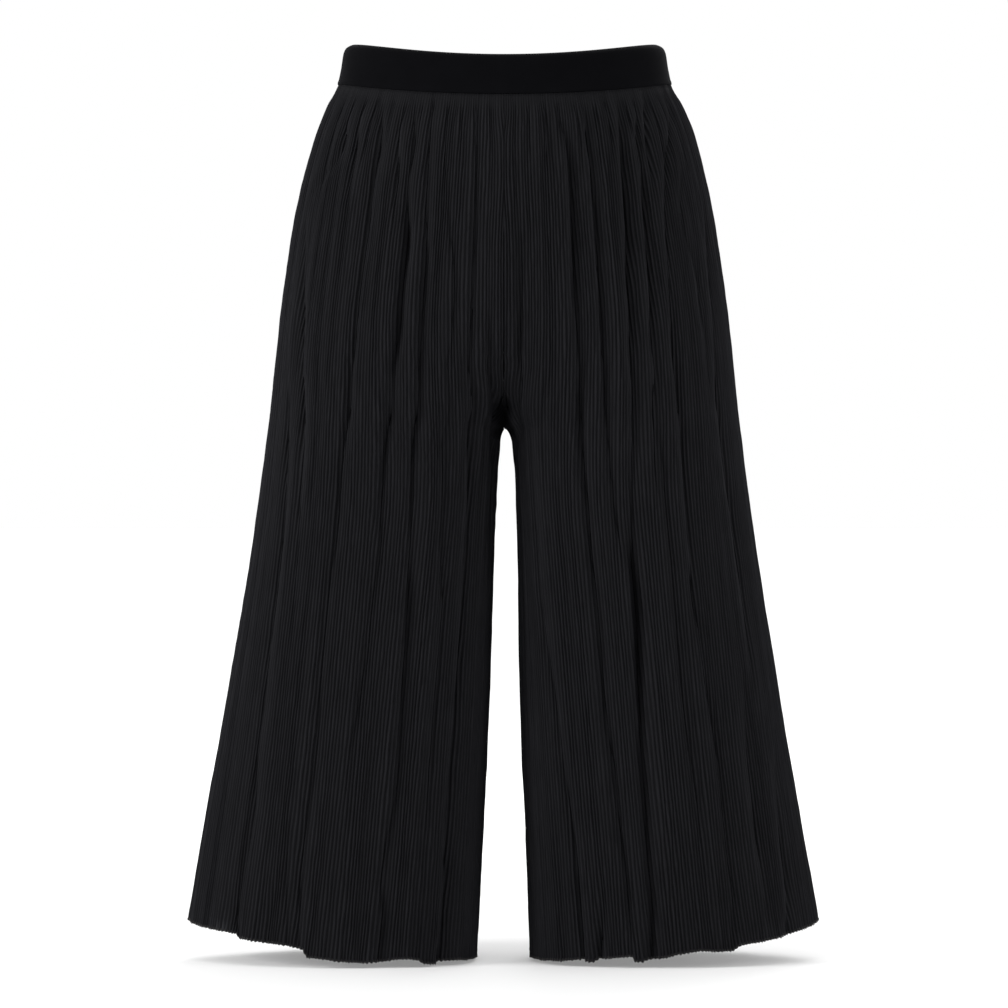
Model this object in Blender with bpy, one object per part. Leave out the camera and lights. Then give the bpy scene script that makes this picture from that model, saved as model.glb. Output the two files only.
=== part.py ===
"""Capri trousers: wide cropped culottes of finely pleated cloth, gathered into a plain waistband.

They are filled out as if worn, with nothing inside. Metres, +Z up, the front faces -Y and the wearer's left leg is
at +X. The origin is the middle of the waist, halfway up the band at the side seams, where a wearer holds them up.

The form is a stack of level outlines. One outline runs round a leg panel from its inner edge, which is the centre
seam above the crotch and the inseam below it, to the side seam. A place on a panel is (s, level): s counts pleats
across it, 0 at the pleat that follows the centre seam and 1 at the side seam, and the pleats with s under 0 start at
the crotch seam. The level is the height, before the waist's dip and the hem's drop are added.
"""

import functools
import math

import bmesh
import bpy
import numpy as np

FORWARD = {"front": -1.0, "back": 1.0}  # the way each face looks along Y
SEAM_GAP = 0.0003  # between two pieces that are sewn together
WALL = 0.0018  # the cloth's plain wall
PLEAT_HEIGHT = 0.0012  # a pleat's ridge above the wall

# Waistband: an ellipse seen from above, lower in front. Its outer face is read from the bottom edge up.
BAND_HEIGHT = 0.0310
BAND_THICK = 0.0024
BAND_HALF_WIDTH = 0.1300
BAND_HALF_DEPTH = 0.0934
BAND_DIP = 0.0160
BAND_DIP_POWER = 1.5
BAND_STEPS = 30
BAND_COLUMNS = ("height", "outset")
BAND_ROWS = (
    (0.0000, 0.0036),
    (0.0060, 0.0030),
    (0.0140, 0.0012),
    (0.0235, 0.0002),
    (0.0280, -0.0006),
    (BAND_HEIGHT, -0.0020),
)

# Legs
PANEL_TOP = -BAND_HEIGHT / 2 - SEAM_GAP
CROTCH = -0.2893
SPLIT_TOP = -0.1200  # below this level the one round of the hips starts to part into two legs
SPLIT_POWER = 1.5
INNER_ROUNDNESS = 3.0  # of an outline on the inner side of a leg, where it is fuller than at the side seam
RISE_TOP = -0.2350  # below this level the crotch seam adds pleats to the panel's inner edge
ARCH_WIDTH = 0.0046  # half the gap between the legs just under the crotch
ARCH_HEIGHT = 0.0130
GAP_SLOPE = 0.0380  # how fast half of that gap widens further down
HEM = -0.6830  # at the side seams, where the hem is highest
DIP_FADE = 0.2000  # the waist's dip has run out this far below the waist seam
DROP_START = -0.3600  # the hem's drop starts to tell below this level
BACK_HEM_RISE = 0.0040  # the back hem rides this much higher than the front one
BACK_RISE_SPAN = 0.2500  # of s, from the side seam to where it does

# The body at each level: half its width at the side seams, how far its front and back stand off the middle, and how
# round its outline is there (2 is an ellipse, less is pointed at the sides, as two layers that meet in a soft fold).
LEVEL_COLUMNS = ("level", "half_width", "front", "back", "roundness")
LEVEL_ROWS = (
    (PANEL_TOP, 0.1334, 0.0968, 0.0968, 2.00),
    (-0.0277, 0.1394, 0.1000, 0.1005, 2.00),
    (-0.0437, 0.1469, 0.1025, 0.1045, 2.00),
    (-0.0757, 0.1572, 0.1050, 0.1110, 1.98),
    (-0.1077, 0.1647, 0.1062, 0.1160, 1.95),
    (-0.1877, 0.1774, 0.1050, 0.1210, 1.85),
    (CROTCH, 0.1886, 0.0940, 0.1080, 1.70),
    (-0.3557, 0.1974, 0.0890, 0.0990, 1.60),
    (-0.4837, 0.2176, 0.0820, 0.0890, 1.50),
    (-0.6117, 0.2396, 0.0780, 0.0840, 1.42),
    (HEM, 0.2514, 0.0770, 0.0830, 1.40),
)
LEVELS = dict(zip(LEVEL_COLUMNS, np.array(LEVEL_ROWS).T))

# How far the hem hangs below its height at the side seam.
HEM_COLUMNS = ("s", "drop")
HEM_ROWS = (
    (-0.19, 0.0285),
    (0.00, 0.0275),
    (0.20, 0.0250),
    (0.35, 0.0252),
    (0.50, 0.0185),
    (0.70, 0.0110),
    (0.90, 0.0040),
    (1.00, 0.0000),
)
HEM_DROP = dict(zip(HEM_COLUMNS, np.array(HEM_ROWS).T))

# Pleats of one panel: those that start at the waistband and those that start at the crotch seam. The inside is plain.
WAIST_PLEATS = 42
CROTCH_PLEATS = 8
CROTCH_SHARE = CROTCH_PLEATS / WAIST_PLEATS
INSIDE_WAIST_STEPS = 28
INSIDE_CROTCH_STEPS = 6

# Rows of facets from the waistband down, beside the centre seam's pleat. From RISE_ROW on, where the centre seam
# starts to curve under, the crotch pleats have rows too, which close up to the inseam's own rows.
CENTRE_ROWS = (PANEL_TOP, -0.045, -0.095, -0.145, -0.192, RISE_TOP)
CENTRE_ROWS += (-0.258, -0.276, -0.292, -0.330, -0.400, -0.490, -0.585, HEM)
RISE_ROW = CENTRE_ROWS.index(RISE_TOP)
INSEAM_ROWS = (CROTCH, -0.2915, -0.297, -0.308, -0.335, -0.400, -0.490, -0.585, HEM)
EVEN_FROM = 0.35  # past this s the rows are spread evenly, a little closer together at the waist
EVEN_POWER = 1.25

# The largest folds: troughs (depth under 0) and rolls (over 0) along the pleats, strongest between their ends.
FOLD_COLUMNS = ("s_top", "s_bottom", "top", "bottom", "half_width", "depth")
FOLD_ROWS = {
    "front_right_leg": (
        (0.517, 0.540, 0.010, -0.250, 0.0090, -0.0055),
        (0.375, 0.380, -0.030, -0.330, 0.0080, -0.0050),
        (0.288, 0.300, -0.080, -0.300, 0.0080, -0.0035),
        (0.560, 0.515, -0.380, -0.800, 0.0100, -0.0060),
        (0.288, 0.290, -0.380, -0.800, 0.0090, -0.0060),
        (0.130, 0.127, -0.480, -0.800, 0.0080, 0.0045),
        (0.770, 0.725, -0.440, -0.760, 0.0100, -0.0040),
    ),
    "front_left_leg": (
        (0.257, 0.252, -0.020, -0.290, 0.0080, -0.0045),
        (0.334, 0.345, 0.010, -0.330, 0.0080, -0.0055),
        (0.480, 0.435, 0.010, -0.300, 0.0085, -0.0060),
        (0.640, 0.600, -0.060, -0.280, 0.0090, -0.0040),
        (0.422, 0.362, -0.360, -0.800, 0.0085, -0.0060),
        (0.275, 0.300, -0.400, -0.800, 0.0085, -0.0060),
        (0.330, 0.326, -0.480, -0.800, 0.0060, 0.0040),
        (0.103, 0.142, -0.420, -0.780, 0.0080, -0.0045),
        (0.735, 0.750, -0.480, -0.740, 0.0100, -0.0040),
    ),
    "back_right_leg": (
        (0.200, 0.205, 0.000, -0.330, 0.0085, -0.0050),
        (0.420, 0.440, 0.010, -0.300, 0.0090, -0.0055),
        (0.640, 0.610, -0.040, -0.290, 0.0090, -0.0045),
        (0.220, 0.205, -0.370, -0.800, 0.0090, -0.0060),
        (0.460, 0.480, -0.400, -0.800, 0.0100, -0.0060),
        (0.700, 0.720, -0.430, -0.770, 0.0100, -0.0045),
    ),
    "back_left_leg": (
        (0.160, 0.165, 0.010, -0.300, 0.0085, -0.0045),
        (0.345, 0.340, 0.000, -0.340, 0.0085, -0.0055),
        (0.560, 0.590, -0.020, -0.280, 0.0090, -0.0050),
        (0.300, 0.320, -0.390, -0.800, 0.0095, -0.0060),
        (0.550, 0.530, -0.370, -0.800, 0.0100, -0.0060),
        (0.100, 0.090, -0.440, -0.790, 0.0085, -0.0045),
    ),
}
FOLD_FADE = 0.0600  # a fold grows to its full depth over this height at each end
EDGE_FADE = 0.0500  # folds die out over this much of s beside a seam
PANEL_SPAN = 0.2400  # metres for s from 0 to 1, near enough for a fold's width

# The cloth's facing is read between places this far apart. Just under the band it is kept level, to fit the band.
FACING_STEP_S = 0.0040
FACING_STEP_LEVEL = 0.0008
LEVEL_FACING = 0.0200

# (red, green, blue), roughness
FINISHES = {"pleated_cloth": ((0.0116, 0.0116, 0.0130), 0.72), "band_pile": ((0.0044, 0.0044, 0.0052), 0.95)}


def ease(x):
    """0 below 0, 1 above 1, and a soft step between."""
    x = min(max(x, 0.0), 1.0)
    return x * x * (3.0 - 2.0 * x)


def body(name, level):
    """A column of the level table, read off a smooth curve through its rows."""
    heights, values = LEVELS["level"], LEVELS[name]
    slopes = np.gradient(values, heights)
    i = int(np.clip(np.searchsorted(-heights, -level) - 1, 0, len(heights) - 2))
    run = heights[i + 1] - heights[i]
    t = float(np.clip((level - heights[i]) / run, 0.0, 1.0))
    start, end = values[i], values[i + 1]
    bend = (1 - t) * (slopes[i] * run - end + start) - t * (slopes[i + 1] * run - end + start)
    return start + t * (end - start) + t * (1 - t) * bend


def leg_gap(level):
    """Half the gap between the legs."""
    down = max(CROTCH - level, 0.0)
    arch = math.sqrt(1.0 - (1.0 - min(down / ARCH_HEIGHT, 1.0)) ** 2)
    return ARCH_WIDTH * arch + GAP_SLOPE * down


def outline(level, face, points=121):
    """A panel's level outline on the +X side: x, distance from the middle to front or back, and length so far."""
    wide, deep = body("half_width", level) - PLEAT_HEIGHT, body(face, level) - PLEAT_HEIGHT
    together = min(max((level - CROTCH) / (SPLIT_TOP - CROTCH), 0.0), 1.0)
    split = (1.0 - together) ** SPLIT_POWER  # 0 is one round, 1 is a leg of its own
    half = (wide - leg_gap(level)) / (1.0 + split)
    angle = np.linspace(math.acos(split ** (INNER_ROUNDNESS / 2.0)), math.pi, points)
    cosine, sine = np.cos(angle), np.sin(angle).clip(0.0)
    inner = cosine > 0.0
    reach = np.abs(cosine) ** np.where(inner, 2.0 / INNER_ROUNDNESS, 1.0)
    across = wide - half + half * np.where(inner, -reach, reach)
    out = deep * sine ** np.where(inner, 1.0, 2.0 / body("roundness", level))
    steps = np.hypot(np.diff(across), np.diff(out))
    return across, out, np.concatenate([[0.0], np.cumsum(steps)])


@functools.cache
def width(level, face):
    """A panel's width along its outline."""
    return outline(level, face)[2][-1]


@functools.cache
def inner_edge(level, face):
    """The s of a panel's inner edge: 0 at the centre seam, under 0 along the crotch seam and the inseam."""
    if level >= RISE_TOP:
        return 0.0
    if level <= CROTCH:
        return -CROTCH_SHARE
    share = ease((RISE_TOP - level) / (RISE_TOP - CROTCH))
    waist_part = width(RISE_TOP, face) * (1.0 - share) + width(CROTCH, face) / (1.0 + CROTCH_SHARE) * share
    return min(1.0 - width(level, face) / waist_part, 0.0)


@functools.cache
def crotch_seam(s, face):
    """The level at which the pleat at s, under 0, starts from the crotch seam."""
    low, high = CROTCH, RISE_TOP
    for _ in range(30):
        middle = (low + high) / 2
        low, high = (middle, high) if inner_edge(middle, face) < s else (low, middle)
    return low


def place(s, level, face):
    """A place of the plain form on the front or back of the +X half."""
    across, out, along = outline(level, face)
    edge = inner_edge(level, face)
    at = along[-1] * (max(s, edge) - edge) / (1.0 - edge)
    x, off = float(np.interp(at, along, across)), float(np.interp(at, along, out))
    cosine = math.sqrt(max(1.0 - (x / across[-1]) ** 2, 0.0))
    dip = BAND_DIP * cosine**BAND_DIP_POWER * (1.0 - ease((PANEL_TOP - level) / DIP_FADE)) * (face == "front")
    drop = float(np.interp(s, HEM_DROP["s"], HEM_DROP["drop"]))
    drop -= BACK_HEM_RISE * ease((1.0 - s) / BACK_RISE_SPAN) * (face == "back")
    drop *= ease((DROP_START - level) / (DROP_START - HEM))
    return np.array((x, FORWARD[face] * off, level - dip - drop))


def outward(s, level, face):
    """The direction that the cloth faces there, kept in the seams' planes so that the pieces meet."""
    edge = inner_edge(level, face)
    s = max(s, edge)
    left, right = max(s - FACING_STEP_S, edge), min(s + FACING_STEP_S, 1.0)
    low, high = max(level - FACING_STEP_LEVEL, HEM), min(level + FACING_STEP_LEVEL, PANEL_TOP)
    across = place(right, level, face) - place(left, level, face)
    down = place(s, low, face) - place(s, high, face)
    facing = -FORWARD[face] * np.cross(down, across)
    facing[2] *= ease((PANEL_TOP - level) / LEVEL_FACING)
    if right == 1.0 or (level <= CROTCH and left == edge):
        facing[1] = 0.0
    if level >= RISE_TOP and left == edge:
        facing[0] = 0.0
    return facing / np.linalg.norm(facing)


def fold(panel, face, s, level):
    """How far the large folds move the cloth out there."""
    total = 0.0
    for row in FOLD_ROWS[panel]:
        f = dict(zip(FOLD_COLUMNS, row))
        down = (f["top"] - level) / (f["top"] - f["bottom"])
        middle = f["s_top"] + (f["s_bottom"] - f["s_top"]) * min(max(down, 0.0), 1.0)
        away = (s - middle) * PANEL_SPAN / f["half_width"]
        ends = ease((f["top"] - level) / FOLD_FADE) * ease((level - f["bottom"]) / FOLD_FADE)
        total += f["depth"] * ends * math.exp(-away * away)
    return total * ease((s - inner_edge(level, face)) / EDGE_FADE) * ease((1.0 - s) / EDGE_FADE)


def row_level(s, row, face):
    """The level of a row of facets at s."""
    if s < 0.0:
        share = (RISE_TOP - crotch_seam(s, face)) / (RISE_TOP - CROTCH)
        return CENTRE_ROWS[row] * (1.0 - share) + INSEAM_ROWS[row - RISE_ROW] * share
    even = PANEL_TOP + (HEM - PANEL_TOP) * (row / (len(CENTRE_ROWS) - 1)) ** EVEN_POWER
    share = ease(s / EVEN_FROM)
    return CENTRE_ROWS[row] * (1.0 - share) + even * share


def cloth_layer(mesh, panel, face, side, waist_steps, crotch_steps, out):
    """One side of a panel's wall. out(column) is how far it stands off the plain form. Returns its vertices."""
    grid, forward = {}, FORWARD[face]
    for column in range(-crotch_steps, waist_steps + 1):
        s = column / waist_steps if column >= 0 else CROTCH_SHARE * column / crotch_steps
        for row in range(RISE_ROW if column < 0 else 0, len(CENTRE_ROWS)):
            level = row_level(s, row, face)
            point = place(s, level, face) + outward(s, level, face) * (fold(panel, face, s, level) + out(column))
            x = max(point[0], 0.0) + SEAM_GAP / 2
            y = max(forward * point[1], 0.0) + SEAM_GAP / 2
            grid[row, column] = mesh.verts.new((side * x, forward * y, point[2]))
    for (row, column), corner in grid.items():
        others = [grid.get(key) for key in ((row + 1, column), (row + 1, column + 1), (row, column + 1))]
        if all(others):
            mesh.faces.new((corner, *others))
    return grid


def wall_edges(grid):
    """The sides of a panel's layer, one after the other all the way round."""
    rows, columns = max(row for row, _ in grid), [column for _, column in grid]
    first, last = min(columns), max(columns)
    yield [grid[0, c] for c in range(last + 1)]
    yield [grid[r, last] for r in range(rows + 1)]
    yield [grid[rows, c] for c in range(last, first - 1, -1)]
    yield [grid[r, first] for r in range(rows, RISE_ROW - 1, -1)]
    yield [grid[RISE_ROW, c] for c in range(first, 1)]
    yield [grid[r, 0] for r in range(RISE_ROW, -1, -1)]


def stitch(mesh, one, other):
    """Triangles between two lines of vertices that run side by side and need not be equally many."""
    i = j = 0
    while i < len(one) - 1 or j < len(other) - 1:
        if (i + 1) * (len(other) - 1) <= (j + 1) * (len(one) - 1):
            mesh.faces.new((one[i], one[i + 1], other[j]))
            i += 1
        else:
            mesh.faces.new((one[i], other[j + 1], other[j]))
            j += 1


def finished(name, mesh, finish):
    """The mesh as a named object of that finish, with its faces pointing out."""
    bmesh.ops.recalc_face_normals(mesh, faces=mesh.faces)
    data = bpy.data.meshes.new(name)
    mesh.to_mesh(data)
    mesh.free()
    data.shade_smooth()
    data.set_sharp_from_angle(angle=math.radians(50))
    material = bpy.data.materials.get(finish) or bpy.data.materials.new(finish)
    material.use_nodes = True
    colour, roughness = FINISHES[finish]
    shader = material.node_tree.nodes["Principled BSDF"]
    shader.inputs["Base Color"].default_value = (*colour, 1.0)
    shader.inputs["Roughness"].default_value = roughness
    shader.inputs["Metallic"].default_value = 0.0
    data.materials.append(material)
    piece = bpy.data.objects.new(name, data)
    bpy.context.scene.collection.objects.link(piece)
    return piece


def leg_panel(panel, face, side):
    """A pleated panel: pleats on its outer side, ridge by ridge, over a plain inside."""
    mesh = bmesh.new()
    outer = cloth_layer(
        mesh, panel, face, side, 2 * WAIST_PLEATS, 2 * CROTCH_PLEATS, lambda column: PLEAT_HEIGHT * (column % 2)
    )
    inner = cloth_layer(mesh, panel, face, side, INSIDE_WAIST_STEPS, INSIDE_CROTCH_STEPS, lambda column: -WALL)
    for one, other in zip(wall_edges(outer), wall_edges(inner)):
        stitch(mesh, one, other)
    return finished(panel, mesh, "pleated_cloth")


def waistband(name, face):
    """Half the band, from side seam to side seam, as one profile carried round the waist."""
    outer = [dict(zip(BAND_COLUMNS, row)) for row in BAND_ROWS]
    profile = [(p["height"], p["outset"]) for p in outer]
    profile += [(p["height"], p["outset"] - BAND_THICK) for p in reversed(outer)]
    mesh = bmesh.new()
    rings = []
    for step in range(BAND_STEPS + 1):
        angle = math.pi * step / BAND_STEPS
        cosine, sine = math.cos(angle), math.sin(angle)
        dip = BAND_DIP * sine**BAND_DIP_POWER * (face == "front")
        rings.append([])
        for height, outset in profile:
            x = (BAND_HALF_WIDTH + outset) * cosine
            y = FORWARD[face] * ((BAND_HALF_DEPTH + outset) * sine + SEAM_GAP / 2)
            rings[-1].append(mesh.verts.new((x, y, height - BAND_HEIGHT / 2 - dip)))
    for one, other in zip(rings, rings[1:]):
        for i in range(len(profile)):
            j = (i + 1) % len(profile)
            mesh.faces.new((one[i], one[j], other[j], other[i]))
    mesh.faces.new(rings[0])
    mesh.faces.new(reversed(rings[-1]))
    return finished(name, mesh, "band_pile")


def main():
    for old in list(bpy.data.objects):
        bpy.data.objects.remove(old)
    for face in ("front", "back"):
        leg_panel(f"{face}_left_leg", face, 1)
        leg_panel(f"{face}_right_leg", face, -1)
        waistband(f"waistband_{face}", face)


if __name__ == "__main__":
    main()
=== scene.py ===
"""Capri trousers: black culottes of fine crystal pleats, gathered into a band with a short velvety pile.

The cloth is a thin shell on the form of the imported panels. A place on a panel is (s, level), as in the
panels' own source: s counts pleats across it, 0 at the pleat that follows the centre seam, 1 at the side
seam and under 0 for the pleats that start at the crotch seam; the level is the height before the waist's dip
and the hem's drop. Shapes are worked out on the wearer's left half with y standing for the distance from the
middle to front or back, and are turned to their side and face last.
"""

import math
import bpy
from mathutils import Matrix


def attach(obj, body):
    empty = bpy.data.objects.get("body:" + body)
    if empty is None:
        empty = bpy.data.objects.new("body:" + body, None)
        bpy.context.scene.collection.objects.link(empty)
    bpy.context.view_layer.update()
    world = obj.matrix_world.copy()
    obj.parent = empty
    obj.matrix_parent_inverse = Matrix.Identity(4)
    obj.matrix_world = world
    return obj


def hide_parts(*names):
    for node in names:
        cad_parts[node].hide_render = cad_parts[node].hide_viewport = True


bl_info = {
    "name": "Pleated capri trousers",
    "version": (1, 0, 0),
    "blender": (4, 5, 0),
    "location": "View3D > Sidebar > Trousers",
    "description": "Builds pleated cropped trousers, worn and hollow, with their waistband, hems and studio",
    "category": "Object",
}

import bmesh
import bpy
import numpy as np

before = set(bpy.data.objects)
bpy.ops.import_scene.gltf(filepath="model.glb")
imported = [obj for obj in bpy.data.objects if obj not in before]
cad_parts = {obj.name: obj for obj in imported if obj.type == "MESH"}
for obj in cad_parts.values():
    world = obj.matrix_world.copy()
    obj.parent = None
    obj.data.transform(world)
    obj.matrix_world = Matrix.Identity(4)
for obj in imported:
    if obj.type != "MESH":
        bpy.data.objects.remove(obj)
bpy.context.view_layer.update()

FORWARD = {"front": -1.0, "back": 1.0}
SIDEWAYS = {"left": 1.0, "right": -1.0}

# Waistband
BAND_HEIGHT = 0.0310
BAND_THICK = 0.0024
BAND_HALF_WIDTH = 0.1300
BAND_HALF_DEPTH = 0.0934
TRIM = {"left": 0.0, "right": 0.0077}  # how much narrower the waist is on each side, as a share
TRIM_FADE = 0.1400
BAND_DIP = 0.0160  # of its lower edge and the panels' top, in front
BAND_DIP_POWER = 1.5
BAND_FACE_DIP = 0.0152  # of its upper edge
BAND_FACE_POWER = 1.9
BAND_COLUMNS = ("height", "outset")
BAND_ROWS = (
    (0.0, 0.0040), (0.0012, 0.0042), (0.0040, 0.0030), (0.0080, 0.0022), (0.0140, 0.0010), (0.0210, 0.0001),
    (0.0255, -0.0008), (0.0282, -0.0022), (0.0300, -0.0044), (BAND_HEIGHT, -0.0072),
)

# The panels' form, as in their source
SEAM_GAP = 0.0003
PANEL_TOP = -BAND_HEIGHT / 2 - SEAM_GAP
CROTCH = -0.2893
TURN_UNDER = 0.0200  # below the crotch the form changes fast over this height
SPLIT_TOP = -0.1200
SPLIT_POWER = 1.5
INNER_ROUNDNESS = 3.0
RISE_TOP = -0.2350
ARCH_WIDTH = 0.0046
ARCH_HEIGHT = 0.0130
GAP_SLOPE = 0.0380
HEM = -0.6830
DIP_FADE = 0.2000
DROP_START = -0.3600
BACK_HEM_RISE = 0.0040
BACK_RISE_SPAN = 0.2500
SOURCE_RIDGE = 0.0012  # the height of the panels' own ridges, which the outline counts in
CROTCH_SHARE = 8.0 / 42.0

LEVEL_COLUMNS = ("level", "half_width", "front", "back", "roundness")
LEVEL_ROWS = (
    (PANEL_TOP, 0.1334, 0.0968, 0.0968, 2.00),
    (-0.0277, 0.1394, 0.1000, 0.1005, 2.00),
    (-0.0437, 0.1469, 0.1025, 0.1045, 2.00),
    (-0.0757, 0.1572, 0.1050, 0.1110, 1.98),
    (-0.1077, 0.1647, 0.1062, 0.1160, 1.95),
    (-0.1877, 0.1774, 0.1050, 0.1210, 1.85),
    (CROTCH, 0.1886, 0.0940, 0.1080, 1.70),
    (-0.3557, 0.1974, 0.0890, 0.0990, 1.60),
    (-0.4837, 0.2176, 0.0820, 0.0890, 1.50),
    (-0.6117, 0.2396, 0.0780, 0.0840, 1.42),
    (HEM, 0.2514, 0.0770, 0.0830, 1.40),
)

# Rows of facets: their level by the centre seam, by the inseam and at the side, and the steps to the next.
ROW_COLUMNS = ("centre", "inseam", "side", "steps")
ROW_ROWS = (
    (PANEL_TOP, CROTCH, PANEL_TOP, 12),
    (-0.0450, CROTCH, -0.0560, 9),
    (-0.0950, CROTCH, -0.1020, 8),
    (-0.1450, CROTCH, -0.1450, 7),
    (-0.1920, CROTCH, -0.1850, 6),
    (RISE_TOP, CROTCH, -0.2200, 5),
    (-0.2580, -0.2915, -0.2500, 5),
    (-0.2760, -0.2970, -0.2800, 5),
    (-0.2920, -0.3080, -0.3100, 6),
    (-0.3300, -0.3350, -0.3500, 8),
    (-0.4000, -0.4000, -0.4100, 9),
    (-0.4900, -0.4900, -0.4900, 9),
    (-0.5850, -0.5850, -0.5850, 8),
    (-0.6660, -0.6660, -0.6660, 3),
    (-0.6780, -0.6780, -0.6780, 3),
    (HEM, HEM, HEM, 0),
)
RISE_KNOT = 5
EVEN_FROM = 0.35

# How far the photo's legs stand off the panels' form: at the inseam away from the middle, and at the side
# outwards.
STAND_COLUMNS = ("level", "inseam", "side")
STAND_ROWS = {
    "left": (
        (PANEL_TOP, 0.0, 0.0), (-0.02, 0.0, -0.0003), (-0.03, 0.0, 0.0012), (-0.05, 0.0, 0.0009),
        (-0.09, 0.0, 0.0), (-0.287, 0.0, 0.0), (CROTCH, 0.0012, 0.0), (-0.301, 0.0032, 0.0),
        (-0.324, 0.0046, 0.0), (-0.356, 0.0047, 0.0), (-0.42, 0.0039, -0.0004), (-0.48, 0.0023, -0.0002),
        (-0.54, 0.0021, -0.0006), (-0.6, 0.0029, -0.0006), (-0.65, 0.0027, -0.0001), (HEM, 0.0026, 0.0006),
    ),
    "right": (
        (PANEL_TOP, 0.0, 0.0), (-0.02, 0.0, 0.0001), (-0.03, 0.0, 0.0009), (-0.045, 0.0, 0.0001),
        (-0.065, 0.0, 0.0), (-0.1, 0.0, 0.0001), (-0.19, 0.0, -0.0002), (-0.22, 0.0, -0.0005),
        (-0.25, 0.0, 0.0), (CROTCH, 0.0, 0.0), (-0.304, 0.0, 0.0), (-0.324, 0.0009, 0.0),
        (-0.356, 0.0011, 0.0), (-0.42, 0.0013, 0.0001), (-0.48, 0.0007, 0.0007), (-0.54, 0.0014, 0.0009),
        (-0.6, 0.0025, 0.0017), (-0.65, 0.0029, 0.002), (HEM, 0.0036, 0.0018),
    ),
}
INSEAM_SPREAD = 0.16  # the share of the way across over which the cloth at the inseam gives
SIDE_POWER = 8.0
GROOVE = 0.60  # how much nearer to the middle the centre seam lies just above the crotch
GROOVE_WIDTH = 0.0046
GROOVE_LEVELS = (-0.2600, -0.2750, CROTCH, -0.3000)

# Between these levels the pleats run straight in the front view, whatever the form does.
STRAIGHT_TOP = -0.1900
STRAIGHT_FOOT = -0.3700
STRAIGHT_STEP = 0.0040
STRAIGHT_FADE = (0.18, 0.22)  # in s, from the centre seam and from the side seam

# How far each hem hangs below its height at the side seam.
HEM_COLUMNS = ("s", "drop")
HEM_ROWS = {
    "front_right_leg": (
        (-0.19, 0.0283), (-0.06, 0.0279), (0.03, 0.0268), (0.078, 0.0273), (0.096, 0.0288), (0.15, 0.0284),
        (0.168, 0.0253), (0.202, 0.0239), (0.245, 0.0243), (0.276, 0.0263), (0.35, 0.0267), (0.424, 0.0253),
        (0.461, 0.0238), (0.508, 0.0227), (0.524, 0.0167), (0.555, 0.015), (0.59, 0.0134), (0.635, 0.0124),
        (0.695, 0.0108), (0.751, 0.0097), (0.76, 0.0066), (0.797, 0.0053), (0.85, 0.0043), (0.92, 0.0027),
        (1.0, 0.0),
    ),
    "front_left_leg": (
        (-0.19, 0.0282), (-0.075, 0.0279), (0.051, 0.0271), (0.1, 0.0262), (0.142, 0.0249), (0.153, 0.0267),
        (0.178, 0.0271), (0.19, 0.0246), (0.299, 0.0217), (0.31, 0.0259), (0.328, 0.0259), (0.345, 0.0249),
        (0.375, 0.024), (0.405, 0.0227), (0.436, 0.0202), (0.511, 0.0175), (0.56, 0.0185), (0.612, 0.0181),
        (0.634, 0.0145), (0.671, 0.0131), (0.763, 0.0106), (0.874, 0.0056), (0.948, 0.0028), (1.0, 0.0),
    ),
    "back_right_leg": (
        (-0.19, 0.0285), (0.06, 0.028), (0.19, 0.0262), (0.212, 0.0232), (0.33, 0.0245), (0.455, 0.0212),
        (0.48, 0.0176), (0.6, 0.015), (0.74, 0.0098), (0.9, 0.0038), (1.0, 0.0),
    ),
    "back_left_leg": (
        (-0.19, 0.0285), (0.09, 0.0274), (0.2, 0.0258), (0.3, 0.0262), (0.325, 0.0228), (0.43, 0.0216),
        (0.52, 0.019), (0.545, 0.0152), (0.7, 0.0108), (0.9, 0.004), (1.0, 0.0),
    ),
}

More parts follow.
